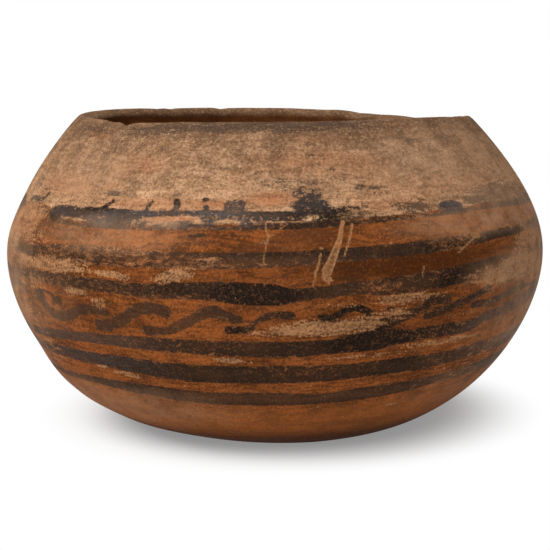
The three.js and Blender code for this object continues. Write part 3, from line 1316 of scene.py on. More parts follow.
@dataclass(frozen=True)
class PaintedClayFinish:
    """The bowl's one finish: bare clay, burnished slip, dark paint, soot, dust and wear, with
    painted sheen, painted reflection and painted shade on the outside, and painted light low on the
    belly and inside.

    A pair of numbers is a slope and a start, or the two readings that a tone runs between.
    """

    buff_light: Colour = colour(214, 169, 130)
    buff_mid: Colour = colour(174, 131, 95)
    buff_dark: Colour = colour(112, 80, 56)
    clay_orange: Colour = colour(164, 98, 56)
    clay_olive: Colour = colour(124, 98, 70)
    grit_dark: Colour = colour(62, 44, 32)
    grit_light: Colour = colour(226, 192, 150)
    rim_brown: Colour = colour(112, 82, 60)
    lip_brown: Colour = colour(78, 56, 40)
    flush_red: Colour = colour(158, 84, 44)
    slip_light: Colour = colour(156, 87, 41)
    slip_dark: Colour = colour(78, 42, 18)
    # painted light: lighter slip low on the belly, standing in for light bounced up from the floor
    painted_lit_base_slip: Colour = colour(166, 98, 46)
    # the browned slip, also used for the painted shade round the foot
    brown_slip_and_shade: Colour = colour(64, 30, 8)
    second_slip: Colour = colour(88, 48, 24)
    worn_tan: Colour = colour(184, 133, 90)
    worn_grey: Colour = colour(114, 80, 54)
    paint_dense: Colour = colour(27, 21, 17)
    paint_thin: Colour = colour(70, 52, 39)
    # grey of the graphite paint and of the painted sheen on it
    graphite: Colour = colour(90, 85, 84)
    soot_grey: Colour = colour(66, 54, 46)
    scratch_tan: Colour = colour(180, 128, 84)
    # tan of the dust, also laid on as a painted sheen and painted reflection
    dust_and_sheen_tan: Colour = colour(180, 140, 108)
    inside_light: Colour = colour(124, 84, 52)
    inside_dark: Colour = colour(92, 68, 48)
    # painted light: the redder, lighter colours of the wall below the lip stand in for light where
    # the inside is shaded
    painted_lit_inside_red: Colour = colour(174, 112, 64)
    painted_lit_inside_deep: Colour = colour(130, 80, 44)
    slip_edge: EdgeLook = EdgeLook(0.9, 0.5, 0.5)
    second_slip_edge: EdgeLook = EdgeLook(0.35, 0.7, 0.5)
    paint_edge: EdgeLook = EdgeLook(0.6, 0.8, 0.28)
    scratch_edge: EdgeLook = EdgeLook(0.26, 1.4, 0.24)
    clay_grains: Grains = Grains(1.0, 0.46, 0.22)
    worn_grains: Grains = Grains(1.2, 0.4, 0.22)
    slip_grains: Grains = Grains(1.0, 0.36, 0.13)
    paint_grains: Grains = Grains(1.1, 0.3, 0.12)
    inside_grains: Grains = Grains(0.9, 0.3, 0.1)
    orange_cloud: Tint = Tint(0.5, 1.0, 0.22)
    olive_cloud: Tint = Tint(0.45, 0.0, 0.3)
    faded_fleck: Tint = Tint(0.5, 0.0, 0.2)
    lip_shade: Tint = Tint(159.0, 172.0, 0.46)
    # painted light: how far up the belly the lighter slip reaches, and how much of it shows
    base_painted_light: Tint = Tint(66.0, 50.0, 0.45)
    scuff: Tint = Tint(0.5, 0.0, 0.16)
    deep_fleck: Tint = Tint(0.5, 1.0, 0.24)
    inside_depth: Tint = Tint(112.0, 50.0, 0.5)
    dark_tones: Place = (0.15, 0.5)
    light_tones: Place = (0.45, 0.9)
    worn_tones: Place = (0.2, 0.85)
    slip_tones: Place = (0.18, 0.82)
    chip_tones: Place = (0.1, 0.9)
    inside_tones: Place = (0.12, 0.88)
    rim_shade: Place = (132.0, 160.0)
    rim_mottle: Place = (-0.45, 0.85)
    flush_patches: Place = (0.8, 0.1)
    worn_spread: float = 1.3
    worn_limits: Place = (0.42, 0.68)
    worn_depth: float = 0.86
    second_slip_cover: float = 0.62
    chip_at_edge: Place = (-1.5, 0.3)
    chip_edge_share: float = 0.22
    chip_share: Place = (0.62, 0.03)
    chip_depth: float = 0.92
    chip_bare: float = 0.36
    paint_wear: float = 0.85
    paint_streaks: Place = (0.2, 0.43)
    paint_body: float = 0.5
    thin_coat: Place = (-1.3, 1.144)
    thin_share: float = 0.8
    thin_start: float = 0.14
    # how strongly the painted sheen shows on the graphite
    painted_sheen: Place = (0.5, 0.35)
    soot_limits: Place = (0.15, 0.85)
    soot_blur: float = 0.3
    soot_cover: float = 0.76
    dust_and_sheen_haze: Place = (0.34, 0.24)
    scratch_rub: Place = (0.7, 0.3)
    scratch_middle: Place = (-0.3, -0.9)
    scratch_fade: Place = (-0.35, 0.55)
    scratch_cover: float = 0.84
    pale_speck: float = 0.5
    dark_speck: float = 0.7
    speck_scale: float = 0.21
    speck_size: float = 0.07
    speck_share: float = 0.3
    # heights over which the inside turns to its painted lighter colours below the lip
    painted_light_below_lip: Place = (128.0, 121.0)
    matt: Place = (0.14, 0.68)
    burnish: float = -0.2
    specular: float = 0.012
    grit_relief: tuple[float, float, float] = (1.6, 5.0, 0.7)
    burnish_calm: float = -0.5
    streak_relief: float = 0.3
    paint_relief: float = 0.1
    scratch_relief: float = -0.7
    pit_relief: float = -1.2
    relief_strength: float = 0.7
    relief_depth: float = 0.3

    def build(self, groups: ClayGroups) -> bpy.types.Material:
        """Makes the material.

        Args:
            groups: The shared node groups.

        Returns:
            The material.
        """
        material = bpy.data.materials.new("painted_clay")
        material.use_nodes = True
        tree = material.node_tree
        bench = ClayBench(tree, groups, {"Scale": self.speck_scale, "Size": self.speck_size,
                                         "Share": self.speck_share})
        shader = tree.nodes["Principled BSDF"].inputs
        shader["Specular IOR Level"].default_value = self.specular
        worn, bare = self.worn_mask(bench), self.worn_colour(bench)
        slip_mask, slip = self.slip_layer(bench)
        surface = bench.blend(slip_mask, self.clay_colour(bench), bench.blend(worn, slip, bare))
        paint_mask, chips, paint = self.paint_layer(bench, worn)
        surface = bench.blend(bench.times(chips, self.chip_bare), surface, bare)
        surface = self.stains_and_painted_sheen(bench, bench.blend(paint_mask, surface, paint))
        scratch = bench.edge(Field.SCRATCH, self.scratch_edge)
        surface = self.specks(bench, self.scratched(bench, surface, scratch))
        surface = bench.blend(bench.field(Field.INSIDE), surface, self.inside_colour(bench))
        bench.feed(shader["Base Color"], surface)
        glossy = bench.times(bench.rest(worn), slip_mask)
        burnish = bench.times(bench.maths("MAXIMUM", glossy, paint_mask), self.burnish)
        matt = bench.line(bench.grain["Streak"], *self.matt)
        bench.feed(shader["Roughness"], bench.maths("ADD", matt, burnish))
        bench.feed(shader["Normal"], self.relief(bench, glossy, paint_mask, scratch))
        LOG.info("mixed the finish %s from %d nodes", material.name, len(tree.nodes))
        return material

    def speckled(self, bench: ClayBench, surface: Socket, grains: Grains, pale: Colour) -> Socket:
        """Covers a colour with fine dark and pale grains.

        Args:
            bench: The bench of the material.
            surface: The colour below.
            grains: How many there are and how much they cover.
            pale: The pale grains' colour.

        Returns:
            The speckled colour.
        """
        found = bench.place(bench.groups.speckle, Scale=grains.scale)
        darkened = bench.blend(bench.times(found["Dark"], grains.dark), surface, self.grit_dark)
        return bench.blend(bench.times(found["Pale"], grains.pale), darkened, pale)

    def clay_colour(self, bench: ClayBench) -> Socket:
        """Colours the bare clay of the shoulder: buff, wiped, clouded, flushed and gritty.

        Args:
            bench: The bench of the material.

        Returns:
            The colour.
        """
        grain = bench.grain
        tone = bench.mixture(Streak=0.4, Drift=0.16, Grain=0.3, Chip=0.14)
        low = bench.blend(bench.ease(tone, *self.dark_tones), self.buff_dark, self.buff_mid)
        buff = bench.blend(bench.ease(tone, *self.light_tones), low, self.buff_light)
        buff = bench.tinted(buff, self.clay_orange, grain["Cloud"], self.orange_cloud)
        buff = bench.tinted(buff, self.clay_olive, grain["Drift"], self.olive_cloud)
        shade = bench.times(bench.ease(bench.along, *self.rim_shade),
                            bench.line(grain["Drift"], *self.rim_mottle))
        buff = bench.blend(shade, buff, self.rim_brown)
        buff = bench.tinted(buff, self.buff_light, grain["Fleck"], self.faded_fleck)
        buff = bench.tinted(buff, self.lip_brown, bench.along, self.lip_shade)
        clay = self.speckled(bench, buff, self.clay_grains, self.grit_light)
        patchy = bench.line(bench.mixture(Grain=0.4, Streak=0.3, Drift=0.3), *self.flush_patches)
        return bench.blend(bench.times(bench.field(Field.FLUSH), patchy), clay, self.flush_red)

    def worn_colour(self, bench: ClayBench) -> Socket:
        """Colours the clay that shows where slip and paint are rubbed off.

        Args:
            bench: The bench of the material.

        Returns:
            The colour.
        """
        tone = bench.ease(bench.mixture(Grain=0.5, Drift=0.2, Streak=0.3), *self.worn_tones)
        base = bench.blend(tone, self.worn_grey, self.worn_tan)
        return self.speckled(bench, base, self.worn_grains, self.buff_light)

    def worn_mask(self, bench: ClayBench) -> Socket:
        """Finds where slip and paint are worn through, in flecks round each bare patch.

        Args:
            bench: The bench of the material.

        Returns:
            The mask.
        """
        pattern = bench.mixture(Fleck=0.26, Streak=0.28, Grain=0.3, Drift=0.16)
        spread = bench.maths("SUBTRACT", pattern, 0.5)
        reach = bench.line(spread, self.worn_spread, bench.field(Field.WORN))
        return bench.times(bench.ease(reach, *self.worn_limits), self.worn_depth)

    def slip_layer(self, bench: ClayBench) -> tuple[Socket, Socket]:
        """Gives the orange slip, with the second brown coat over it, painted lighter low on the
        belly and darkened by a painted shade round the foot.

        Args:
            bench: The bench of the material.

        Returns:
            The slip's mask and its colour.
        """
        tone = bench.mixture(Streak=0.3, Cloud=0.24, Drift=0.14, Grain=0.32)
        slip = bench.blend(bench.ease(tone, *self.slip_tones), self.slip_dark, self.slip_light)
        # painted light: the slip turns lighter low on the belly, as if lit from the floor
        slip = bench.tinted(slip, self.painted_lit_base_slip, bench.along, self.base_painted_light)
        # browns the slip, and darkens the foot with a painted shade
        slip = bench.blend(bench.field(Field.BROWN), slip, self.brown_slip_and_shade)
        second = bench.edge(Field.SECOND_SLIP, self.second_slip_edge)
        slip = bench.blend(bench.times(second, self.second_slip_cover), slip, self.second_slip)
        return (bench.edge(Field.SLIP, self.slip_edge),
                self.speckled(bench, slip, self.slip_grains, self.worn_tan))

    def paint_layer(self, bench: ClayBench, worn: Socket) -> tuple[Socket, Socket, Socket]:
        """Gives the dark paint: black where thick, brown where thin, chipped along its edges, and
        lightened to grey graphite with a painted sheen on it.

        Args:
            bench: The bench of the material.
            worn: Where paint is worn through.

        Returns:
            The paint's mask, the mask of the chips in it, and its colour.
        """
        band = bench.edge(Field.BLACK, self.paint_edge)
        coat = bench.field(Field.COAT)
        lost = bench.line(bench.field(Field.FLAKE), *self.chip_share)
        near_edge = bench.ease(bench.field(Field.BLACK), *self.chip_at_edge)
        lost = bench.line(near_edge, self.chip_edge_share, lost)
        pattern = bench.ease(bench.mixture(Chip=0.54, Grain=0.46), *self.chip_tones)
        chips = bench.place(bench.groups.flaking, Coat=lost, Pattern=pattern)["Mask"]
        kept = bench.rest(bench.times(worn, self.paint_wear))
        uneven = bench.line(bench.grain["Streak"], *self.paint_streaks)
        cover = bench.line(coat, self.paint_body, uneven, clamp=True)
        whole = bench.rest(bench.times(chips, self.chip_depth))
        mask = bench.times(bench.times(band, whole), bench.times(kept, cover))
        thin = bench.line(bench.mixture(Grain=0.26, Streak=0.34, Drift=0.3), self.thin_share,
                          bench.line(coat, *self.thin_coat), clamp=True)
        thin = bench.maths("SUBTRACT", thin, self.thin_start, clamp=True)
        paint = bench.blend(thin, self.paint_dense, self.paint_thin)
        paint = bench.tinted(paint, self.worn_grey, bench.grain["Fleck"], self.scuff)
        # painted sheen: the graphite patches lighten the paint grey where light would glint on it
        painted_sheen = bench.times(bench.field(Field.GRAPHITE),
                            bench.line(bench.grain["Streak"], *self.painted_sheen))
        paint = bench.blend(painted_sheen, paint, self.graphite)
        return (mask, bench.times(band, chips),
                self.speckled(bench, paint, self.paint_grains, self.worn_tan))

    def stains_and_painted_sheen(self, bench: ClayBench, surface: Socket) -> Socket:
        """Adds the soot of the firing, the dust that lies in the surface, and a painted sheen and
        painted reflection of the pale surroundings where the dust patches lie on the sides and the
        belly.

        Args:
            bench: The bench of the material.
            surface: The colour below.

        Returns:
            The colour with its stains, dust and painted sheen.
        """
        pattern = bench.ease(bench.mixture(Streak=0.3, Fleck=0.3, Grain=0.4), *self.soot_limits)
        soot = bench.place(bench.groups.flaking, Coat=bench.field(Field.SOOT), Pattern=pattern,
                           Softness=self.soot_blur)["Mask"]
        sooty = bench.blend(bench.times(soot, self.soot_cover), surface, self.soot_grey)
        # dust, and a painted sheen and painted reflection where these patches lie on the sides and
        # belly
        dust_and_sheen = bench.times(bench.field(Field.DUST),
                           bench.line(bench.grain["Drift"], *self.dust_and_sheen_haze))
        return bench.blend(dust_and_sheen, sooty, self.dust_and_sheen_tan)

    def scratched(self, bench: ClayBench, surface: Socket, scratch: Socket) -> Socket:
        """Scrapes the surface along the scratches, less so in their middles.

        Args:
            bench: The bench of the material.
            surface: The colour below.
            scratch: Where it is scratched.

        Returns:
            The scratched colour.
        """
        grain = bench.grain["Grain"]
        rubbed = bench.blend(bench.line(grain, *self.scratch_rub), self.worn_grey,
                             self.scratch_tan)
        middle = bench.ease(bench.field(Field.SCRATCH), *self.scratch_middle)
        faint = bench.times(middle, bench.line(grain, *self.scratch_fade))
        scraped = bench.times(scratch, bench.maths("SUBTRACT", self.scratch_cover, faint))
        return bench.blend(scraped, surface, rubbed)

    def specks(self, bench: ClayBench, surface: Socket) -> Socket:
        """Adds single pale grains, dark pits and deep flecks.

        Args:
            bench: The bench of the material.
            surface: The colour below.

        Returns:
            The colour with its specks.
        """
        pale, dark = bench.pits["Pale"], bench.pits["Dark"]
        gritty = bench.blend(bench.times(pale, self.pale_speck), surface, self.grit_light)
        gritty = bench.blend(bench.times(dark, self.dark_speck), gritty, self.grit_dark)
        return bench.tinted(gritty, self.grit_dark, bench.grain["Fleck"], self.deep_fleck)

    def inside_colour(self, bench: ClayBench) -> Socket:
        """Colours the inner wall: olive and brown by the lip, redder and mottled below it, where it
        is painted lighter to make up for the shade inside the bowl.

        Args:
            bench: The bench of the material.

        Returns:
            The colour.
        """
        height = bench.fed("ShaderNodeSeparateXYZ", bench.where).outputs["Z"]
        tone = bench.mixture(Cloud=0.34, Drift=0.24, Streak=0.26, Grain=0.16)
        tone = bench.ease(tone, *self.inside_tones)
        upper = bench.blend(tone, self.inside_dark, self.inside_light)
        # painted light: the wall below the lip is coloured lighter to make up for the shade inside
        # the bowl
        lower = bench.blend(tone, self.painted_lit_inside_deep, self.painted_lit_inside_red)
        lower = bench.tinted(lower, self.buff_dark, height, self.inside_depth)
        inner = bench.blend(bench.ease(height, *self.painted_light_below_lip), upper, lower)
        return self.speckled(bench, inner, self.inside_grains, self.buff_light)

    def relief(self, bench: ClayBench, smooth: Socket, paint: Socket, scratch: Socket) -> Socket:
        """Gives the surface its fine relief: grit, wipe marks, pits, paint edges and scratches.

        Args:
            bench: The bench of the material.
            smooth: Where the slip is burnished.
            paint: Where paint lies.
            scratch: Where it is scratched.

        Returns:
            The surface's direction.
        """
        grit = bench.noise(bench.where, *self.grit_relief)
        height = bench.times(grit, bench.line(smooth, self.burnish_calm, 1.0))
        for part, share in ((bench.grain["Streak"], self.streak_relief),
                            (paint, self.paint_relief), (scratch, self.scratch_relief),
                            (bench.pits["Dark"], self.pit_relief)):
            height = bench.line(part, share, height)
        bump = bench.add("ShaderNodeBump")
        bump.inputs["Strength"].default_value = self.relief_strength
        bump.inputs["Distance"].default_value = self.relief_depth * MM
        bench.feed(bump.inputs["Height"], height)
        return bump.outputs["Normal"]


@dataclass(frozen=True)
class HandWork:
    """How far the hand-made wall strays from a true round, in mm, and between which places."""

    lump_height: float = 0.22
    lump_size: float = 34.0
    lump_middle: float = 0.6
    lump_rise: Place = (2.0, 14.0)
    left_fullness: float = 2.3
    fullness_rise: Place = (7.0, 18.0)
    fullness_fall: Place = (22.0, 40.0)
    left_draw: float = 1.3
    draw_rise: Place = (76.0, 98.0)
    foot_draw: float = 3.0
    foot_azimuth: float = -45.0
    foot_spread: float = 60.0
    foot_radii: Place = (18.0, 34.0)
    foot_fall: Place = (3.0, 9.0)
    left_lip: float = 2.2
    left_lip_rise: Place = (-1.0, 3.0)
    left_lip_fall: Place = (12.0, 34.0)

    def lumps(self, points: np.ndarray) -> np.ndarray:
        """Gives how far the wall's soft lumps stand out.

        Args:
            points: The wall's points in millimetres.

        Returns:
            The distance along the surface's direction at each.
        """
        found = np.array([noise.noise(Vector(point) / self.lump_size) for point in points])
        standing = smooth_step(points[:, 2], *self.lump_rise)
        return (found - self.lump_middle) * self.lump_height * standing

    def outwards(self, points: np.ndarray, azimuth: np.ndarray, past_lip: np.ndarray
                 ) -> np.ndarray:
        """Gives how far the wall stands out from a true round.

        The left side is fuller just above the foot and drawn in at the shoulder, its lip is
        thicker inwards, and the foot is drawn in towards the front left.

        Args:
            points: The wall's points in millimetres.
            azimuth: Their azimuths in degrees.
            past_lip: Their distances along the wall from the crest of the lip.

        Returns:
            The distance outwards at each, in millimetres.
        """
        height, radius = points[:, 2], np.hypot(points[:, 0], points[:, 1])
        left = np.clip(-np.sin(np.radians(azimuth)), 0.0, 1.0)
        apart = np.clip((azimuth - self.foot_azimuth) / self.foot_spread, -1.0, 1.0)
        front_left = np.cos(apart * math.pi / 2)
        fuller = smooth_step(height, *self.fullness_rise) - smooth_step(
            height, *self.fullness_fall)
        drawn = smooth_step(height, *self.draw_rise)
        foot = smooth_step(radius, *self.foot_radii) * (
            1.0 - smooth_step(height, *self.foot_fall))
        inner = smooth_step(past_lip, *self.left_lip_rise) - smooth_step(
            past_lip, *self.left_lip_fall)
        return (left * (self.left_fullness * fuller - self.left_draw * drawn)
                - self.foot_draw * foot * front_left - self.left_lip * inner * left ** 4)


def read_points(mesh: bpy.types.Mesh, name: str = "co") -> np.ndarray:
    """Reads a mesh's points, or another value with three parts of each.

    Args:
        mesh: The mesh.
        name: What is read.

    Returns:
        One row for each point.
    """
    values = np.empty(len(mesh.vertices) * 3)
    mesh.vertices.foreach_get(name, values)
    return values.reshape(-1, 3)


def azimuths(points: np.ndarray) -> np.ndarray:
    """Gives the azimuths of points, in degrees from the front."""
    return np.degrees(np.arctan2(points[:, 0], -points[:, 1]))


def take_up(piece: bpy.types.Object) -> None:
    """Selects one object alone and makes it the active one.

    Args:
        piece: The object.
    """
    bpy.ops.object.select_all(action="DESELECT")
    piece.select_set(True)
    bpy.context.view_layer.objects.active = piece


@dataclass
class CoilBuiltBowl:
    """The bowl itself: one wall, shaped as a whole and then parted along its coil seams."""

    shape: WallShape = field(default_factory=WallShape)
    rim: RimLine = field(default_factory=RimLine)
    hand: HandWork = field(default_factory=HandWork)
    turn_steps: int = 112
    smooth_levels: int = 3
    nick_reach: float = 4.0
    inside_start: Place = (1.2, 5.0)
    seam_slack: float = 0.5
    weld_reach: float = 0.01

    def __post_init__(self) -> None:
        """Lays out the section that the wall is turned from."""
        self.section = Section(self.shape)
        self.paint = PaintScheme(self.section)
        self.coil_count = self.shape.wall_coil_count + 2

    def piece_name(self, index: int) -> str:
        """Names a coil as its solid is named."""
        return {0: "base_dish", self.coil_count - 1: "rim_coil"}.get(index, f"wall_coil_{index}")

    def turn_wall(self) -> bpy.types.Object:
        """Draws the section by extruding one point, then spins it round the axis.

        Returns:
            The coarse wall.
        """
        bpy.ops.object.select_all(action="DESELECT")
        bpy.ops.mesh.primitive_plane_add(size=MM)
        wall = bpy.context.object
        wall.name = "bowl_wall"
        bpy.ops.object.mode_set(mode="EDIT")
        bpy.ops.mesh.select_all(action="SELECT")
        bpy.ops.mesh.merge(type="CENTER")
        corners = [Vector((point.radius, 0.0, point.height)) * MM for point in self.section.points]
        bpy.ops.transform.translate(value=corners[0])
        for before, after in zip(corners[:-1], corners[1:]):
            bpy.ops.mesh.extrude_region_move(TRANSFORM_OT_translate={"value": after - before})
        bpy.ops.mesh.select_all(action="SELECT")
        bpy.ops.mesh.spin(steps=self.turn_steps, angle=math.tau, center=(0, 0, 0), axis=(0, 0, 1))
        bpy.ops.mesh.select_all(action="SELECT")
        bpy.ops.mesh.remove_doubles(threshold=self.weld_reach * MM)
        bpy.ops.mesh.normals_make_consistent(inside=False)
        bpy.ops.object.mode_set(mode="OBJECT")
        return wall

    def mark_rows(self, wall: bpy.types.Object) -> None:
        """Notes each point's place along the section and gives each coil's faces their slot.

        Args:
            wall: The coarse wall.
        """
        mesh = wall.data
        places = np.array([(point.radius, point.height) for point in self.section.points])
        points = read_points(mesh) / MM
        flat = np.column_stack([np.hypot(points[:, 0], points[:, 1]), points[:, 2]])
        gaps = np.linalg.norm(flat[:, None, :] - places[None, :, :], axis=2)
        nearest = gaps.argmin(axis=1)
        attribute = mesh.attributes.new("path_mm", "FLOAT", "POINT")
        attribute.data.foreach_set("value", self.section.path()[nearest].astype(np.float32))
        coils = [point.coil for point in self.section.points]
        for index in range(self.coil_count):
            mesh.materials.append(bpy.data.materials.new(f"parting_{index}"))
        for face in mesh.polygons:
            face.material_index = coils[min(nearest[vertex] for vertex in face.vertices)]

    def smooth_wall(self, wall: bpy.types.Object) -> None:
        """Rounds the coarse wall into a fine one.

        Args:
            wall: The coarse wall.
        """
        modifier = wall.modifiers.new("rounding", "SUBSURF")
        modifier.levels = self.smooth_levels
        modifier.render_levels = self.smooth_levels
        bpy.context.view_layer.objects.active = wall
        bpy.ops.object.modifier_apply(modifier=modifier.name)
        wall.data.polygons.foreach_set("use_smooth", [True] * len(wall.data.polygons))

    def risen(self, height: np.ndarray, azimuth: np.ndarray) -> np.ndarray:
        """Gives how far the uneven rim lifts the wall: all of it at the neck, none at the belly.

        Args:
            height: Heights in millimetres.
            azimuth: Azimuths in degrees.

        Returns:
            The lift at each, in millimetres.
        """
        share = smooth_step(height, self.shape.belly_height, self.shape.neck_height)
        return self.rim.height(azimuth) * share

    def shape_and_paint(self, wall: bpy.types.Object) -> None:
        """Paints the wall's values, then works it by hand: its lumps and its uneven rim.

        Args:
            wall: The fine wall.
        """
        mesh = wall.data
        points, normals = read_points(mesh) / MM, read_points(mesh, "normal")
        path = np.empty(len(points), np.float32)
        mesh.attributes["path_mm"].data.foreach_get("value", path)
        azimuth = azimuths(points)
        distance = path - self.shape.base_radius
        lip_middle = self.section.length + math.pi * self.shape.lip_thickness / 4
        past_lip = distance - lip_middle
        outer = np.where(distance < lip_middle, distance, lip_middle)
        values = self.paint.fields(SkinPlaces(points, azimuth, outer))
        values[Field.INSIDE] = smooth_step(past_lip, *self.inside_start)
        values[Field.ALONG] = distance
        for name, value in values.items():
            attribute = mesh.attributes.new(name.value, "FLOAT", "POINT")
            attribute.data.foreach_set("value", value.astype(np.float32))
        points += normals * self.hand.lumps(points)[:, None]
        radius = np.maximum(np.hypot(points[:, 0], points[:, 1]), 1.0)
        outwards = self.hand.outwards(points, azimuth, past_lip)
        points[:, :2] *= (1.0 + outwards / radius)[:, None]
        near_lip = np.exp(-(past_lip / self.nick_reach) ** 2)
        points[:, 2] += (self.risen(points[:, 2], azimuth)
                         + self.rim.fine_line(azimuth) * near_lip)
        mesh.vertices.foreach_set("co", (points * MM).ravel())
        mesh.update()
        LOG.info("shaped the wall: %d points", len(points))

    def keep_normals(self, wall: bpy.types.Object) -> None:
        """Stores the whole wall's normals, so that no seam shows once it is parted.

        Args:
            wall: The shaped wall.
        """
        attribute = wall.data.attributes.new("whole_normal", "FLOAT_VECTOR", "POINT")
        attribute.data.foreach_set("vector", read_points(wall.data, "normal").ravel())

    def part_coils(self, wall: bpy.types.Object) -> dict[int, bpy.types.Object]:
        """Parts the wall along its seams into one piece for each coil.

        Args:
            wall: The painted wall.

        Returns:
            The pieces by their number from the base up.
        """
        take_up(wall)
        bpy.ops.object.mode_set(mode="EDIT")
        bpy.ops.mesh.separate(type="MATERIAL")
        bpy.ops.object.mode_set(mode="OBJECT")
        return {int(piece.data.materials[0].name.split("_")[1]): piece
                for piece in bpy.context.selected_objects}

    def close_seams(self, piece: bpy.types.Object, index: int) -> None:
        """Closes a piece where it was parted, across the wall from skin to skin.

        Args:
            piece: The piece.
            index: Its number from the base up.
        """
        for seam in self.section.seams()[max(index - 1, 0):index + 1]:
            level = (self.section.outside(seam)[1] + self.section.inside(seam)[1]) / 2
            self.bridge_open_edges(piece, level)

    def bridge_open_edges(self, piece: bpy.types.Object, level: float) -> None:
        """Bridges the open edges that lie nearest to a height.

        Args:
            piece: The piece.
            level: The seam's height in millimetres, before the rim's rise.
        """
        mesh = piece.data
        loops = np.empty(len(mesh.loops), np.int32)
        mesh.loops.foreach_get("edge_index", loops)
        single = np.bincount(loops, minlength=len(mesh.edges)) == 1
        ends = np.empty(len(mesh.edges) * 2, np.int32)
        mesh.edges.foreach_get("vertices", ends)
        points = read_points(mesh)[ends[::2]] / MM
        levels = points[:, 2] - self.risen(points[:, 2], azimuths(points))
        reach = (self.shape.seam_lap + self.shape.wall_thickness) / 2 + self.seam_slack
        take_up(piece)
        mesh.edges.foreach_set("select", single & (np.abs(levels - level) <= reach))
        bpy.ops.object.mode_set(mode="EDIT")
        bpy.ops.mesh.select_mode(type="EDGE")
        bpy.ops.mesh.bridge_edge_loops()
        bpy.ops.mesh.select_all(action="DESELECT")
        bpy.ops.object.mode_set(mode="OBJECT")

    def finish_piece(self, piece: bpy.types.Object, index: int,
                     material: bpy.types.Material) -> None:
        """Dresses a piece, hangs it on the root body and hides the solid that it stands for.

        Args:
            piece: The piece.
            index: Its number from the base up.
            material: Its finish.
        """
        node = self.piece_name(index)
        mesh = piece.data
        piece.name = f"painted_{node}"
        mesh.name = piece.name
        normals = np.empty(len(mesh.vertices) * 3, np.float32)
        mesh.attributes["whole_normal"].data.foreach_get("vector", normals)
        mesh.normals_split_custom_set_from_vertices(normals.reshape(-1, 3).tolist())
        mesh.attributes.remove(mesh.attributes["whole_normal"])
        mesh.materials.clear()
        mesh.materials.append(material)
        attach(piece, "root")
        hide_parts(node)
        LOG.info("made %s with %d faces", piece.name, len(mesh.polygons))

    def build(self, material: bpy.types.Material) -> list[bpy.types.Object]:
        """Makes the whole bowl.

        Args:
            material: The finish of every piece.

        Returns:
            The pieces, from the base up.
        """
        wall = self.turn_wall()
        self.mark_rows(wall)
        self.smooth_wall(wall)
        self.shape_and_paint(wall)
        self.keep_normals(wall)
        pieces = self.part_coils(wall)
        for index in sorted(pieces):
            self.close_seams(pieces[index], index)
            self.finish_piece(pieces[index], index, material)
        return [pieces[index] for index in sorted(pieces)]


@dataclass(frozen=True)
class SoftLamp:
    """A square soft lamp, in metres and watts."""

    name: str
    place: tuple[float, float, float]
    width: float
    power: float


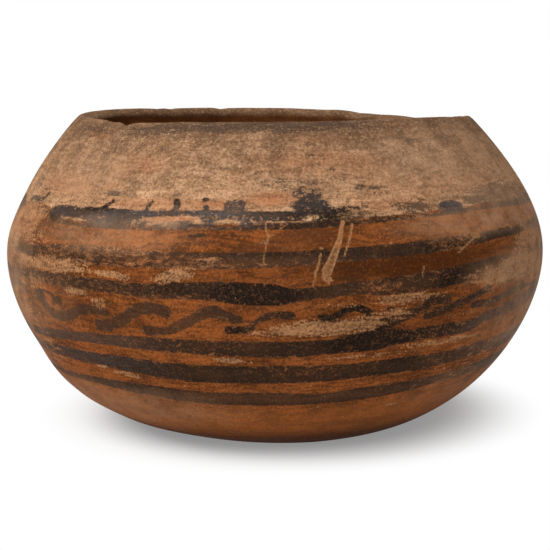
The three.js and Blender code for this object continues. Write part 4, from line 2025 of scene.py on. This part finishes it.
@dataclass
class Studio:
    """The plain pale setting: floor, lamps, surrounding light and camera."""

    lamps: tuple[SoftLamp, ...] = (
        SoftLamp("key_lamp", (-0.95, -0.8, 1.3), 1.1, 26.0),
        SoftLamp("front_lamp", (0.25, -1.7, 0.6), 1.3, 7.0),
        SoftLamp("top_lamp", (0.15, -0.1, 1.5), 1.2, 8.0),
    )
    aim: tuple[float, float, float] = (0.0, 0.0, 0.06)
    world_light: float = 0.2
    floor_size: float = 8.0
    floor_colour: Colour = (0.78, 0.78, 0.78, 1.0)
    floor_roughness: float = 0.9
    floor_glow: float = 0.25
    fade_middle: tuple[float, float, float] = (0.005, 0.020, 0.0)
    fade_reach: Place = (0.065, 0.112)
    camera_back: float = 0.599
    camera_height: float = 0.14887
    camera_pitch: float = 0.1465
    camera_roll: float = -0.011
    focal_pixels: float = 1454.1
    frame_pixels: float = 550.0
    sensor: float = 36.0

    def hang_lamps(self) -> None:
        """Places the lamps, each turned towards the bowl."""
        for lamp in self.lamps:
            light = bpy.data.lights.new(lamp.name, "AREA")
            light.size = lamp.width
            light.energy = lamp.power
            holder = bpy.data.objects.new(lamp.name, light)
            bpy.context.scene.collection.objects.link(holder)
            holder.location = lamp.place
            towards = Vector(self.aim) - Vector(lamp.place)
            holder.rotation_euler = towards.to_track_quat("-Z", "Y").to_euler()

    def mix_floor(self) -> bpy.types.Material:
        """Makes the floor's material, which glows a little and fades to white far off.

        Returns:
            The material.
        """
        material = bpy.data.materials.new("pale_floor")
        material.use_nodes = True
        tree = material.node_tree
        bench = NodeBench(tree)
        shader = tree.nodes["Principled BSDF"]
        shader.inputs["Base Color"].default_value = self.floor_colour
        shader.inputs["Roughness"].default_value = self.floor_roughness
        shader.inputs["Specular IOR Level"].default_value = 0.0
        direct = bench.seen_directly()
        glow = bench.add("ShaderNodeEmission")
        bench.feed(glow.inputs["Strength"], bench.times(direct, self.floor_glow))
        lifted = bench.fed("ShaderNodeAddShader", shader.outputs[0], glow.outputs[0])
        white = bench.add("ShaderNodeEmission")
        white.inputs["Strength"].default_value = 1.0
        place = bench.add("ShaderNodeTexCoord").outputs["Object"]
        length = bench.fed("ShaderNodeVectorMath", place, self.fade_middle, operation="DISTANCE")
        far = bench.times(bench.ease(length.outputs["Value"], *self.fade_reach), direct)
        mixed = bench.fed("ShaderNodeMixShader", far, lifted.outputs[0], white.outputs[0])
        bench.feed(tree.nodes["Material Output"].inputs["Surface"], mixed.outputs[0])
        return material

    def lay_floor(self) -> None:
        """Lays the pale floor, which keeps the bowl's shadow."""
        bpy.ops.object.select_all(action="DESELECT")
        bpy.ops.mesh.primitive_plane_add(size=self.floor_size)
        floor = bpy.context.object
        floor.name = "floor"
        floor.data.materials.append(self.mix_floor())

    def light_surroundings(self) -> None:
        """Gives the surroundings: white to the eye and in gloss, softer as light."""
        world = bpy.data.worlds.new("pale_surroundings")
        bpy.context.scene.world = world
        world.use_nodes = True
        bench = NodeBench(world.node_tree)
        background = world.node_tree.nodes["Background"].inputs
        background["Color"].default_value = (1.0, 1.0, 1.0, 1.0)
        strength = bench.maths("MAXIMUM", bench.seen_directly(), self.world_light)
        bench.feed(background["Strength"], strength)

    def set_camera(self) -> None:
        """Stands the camera where the photograph was taken from."""
        data = bpy.data.cameras.new("camera")
        data.sensor_width = self.sensor
        data.lens = self.focal_pixels / self.frame_pixels * self.sensor
        camera = bpy.data.objects.new("camera", data)
        bpy.context.scene.collection.objects.link(camera)
        across = Vector((1.0, 0.0, 0.0))
        upward = Vector((0.0, math.sin(self.camera_pitch), math.cos(self.camera_pitch)))
        roll = self.camera_roll
        right = across * math.cos(roll) + upward * math.sin(roll)
        top = upward * math.cos(roll) - across * math.sin(roll)
        turned = Matrix((right, top, right.cross(top))).transposed().to_4x4()
        stand = Matrix.Translation((0.0, -self.camera_back, self.camera_height))
        camera.matrix_world = stand @ turned
        bpy.context.scene.camera = camera

    def build(self) -> None:
        """Sets up everything round the bowl."""
        self.hang_lamps()
        self.lay_floor()
        self.light_surroundings()
        self.set_camera()
        bpy.context.scene.view_settings.view_transform = "Standard"
        LOG.info("set up the floor, %d lamps and the camera", len(self.lamps))


def main() -> None:
    """Builds the bowl and its setting in order."""
    logging.basicConfig(level=logging.INFO, format="%(name)s: %(message)s")
    Studio().build()
    material = PaintedClayFinish().build(ClayGroups())
    pieces = CoilBuiltBowl().build(material)
    LOG.info("the bowl has %d pieces", len(pieces))


if __name__ == "__main__":
    main()
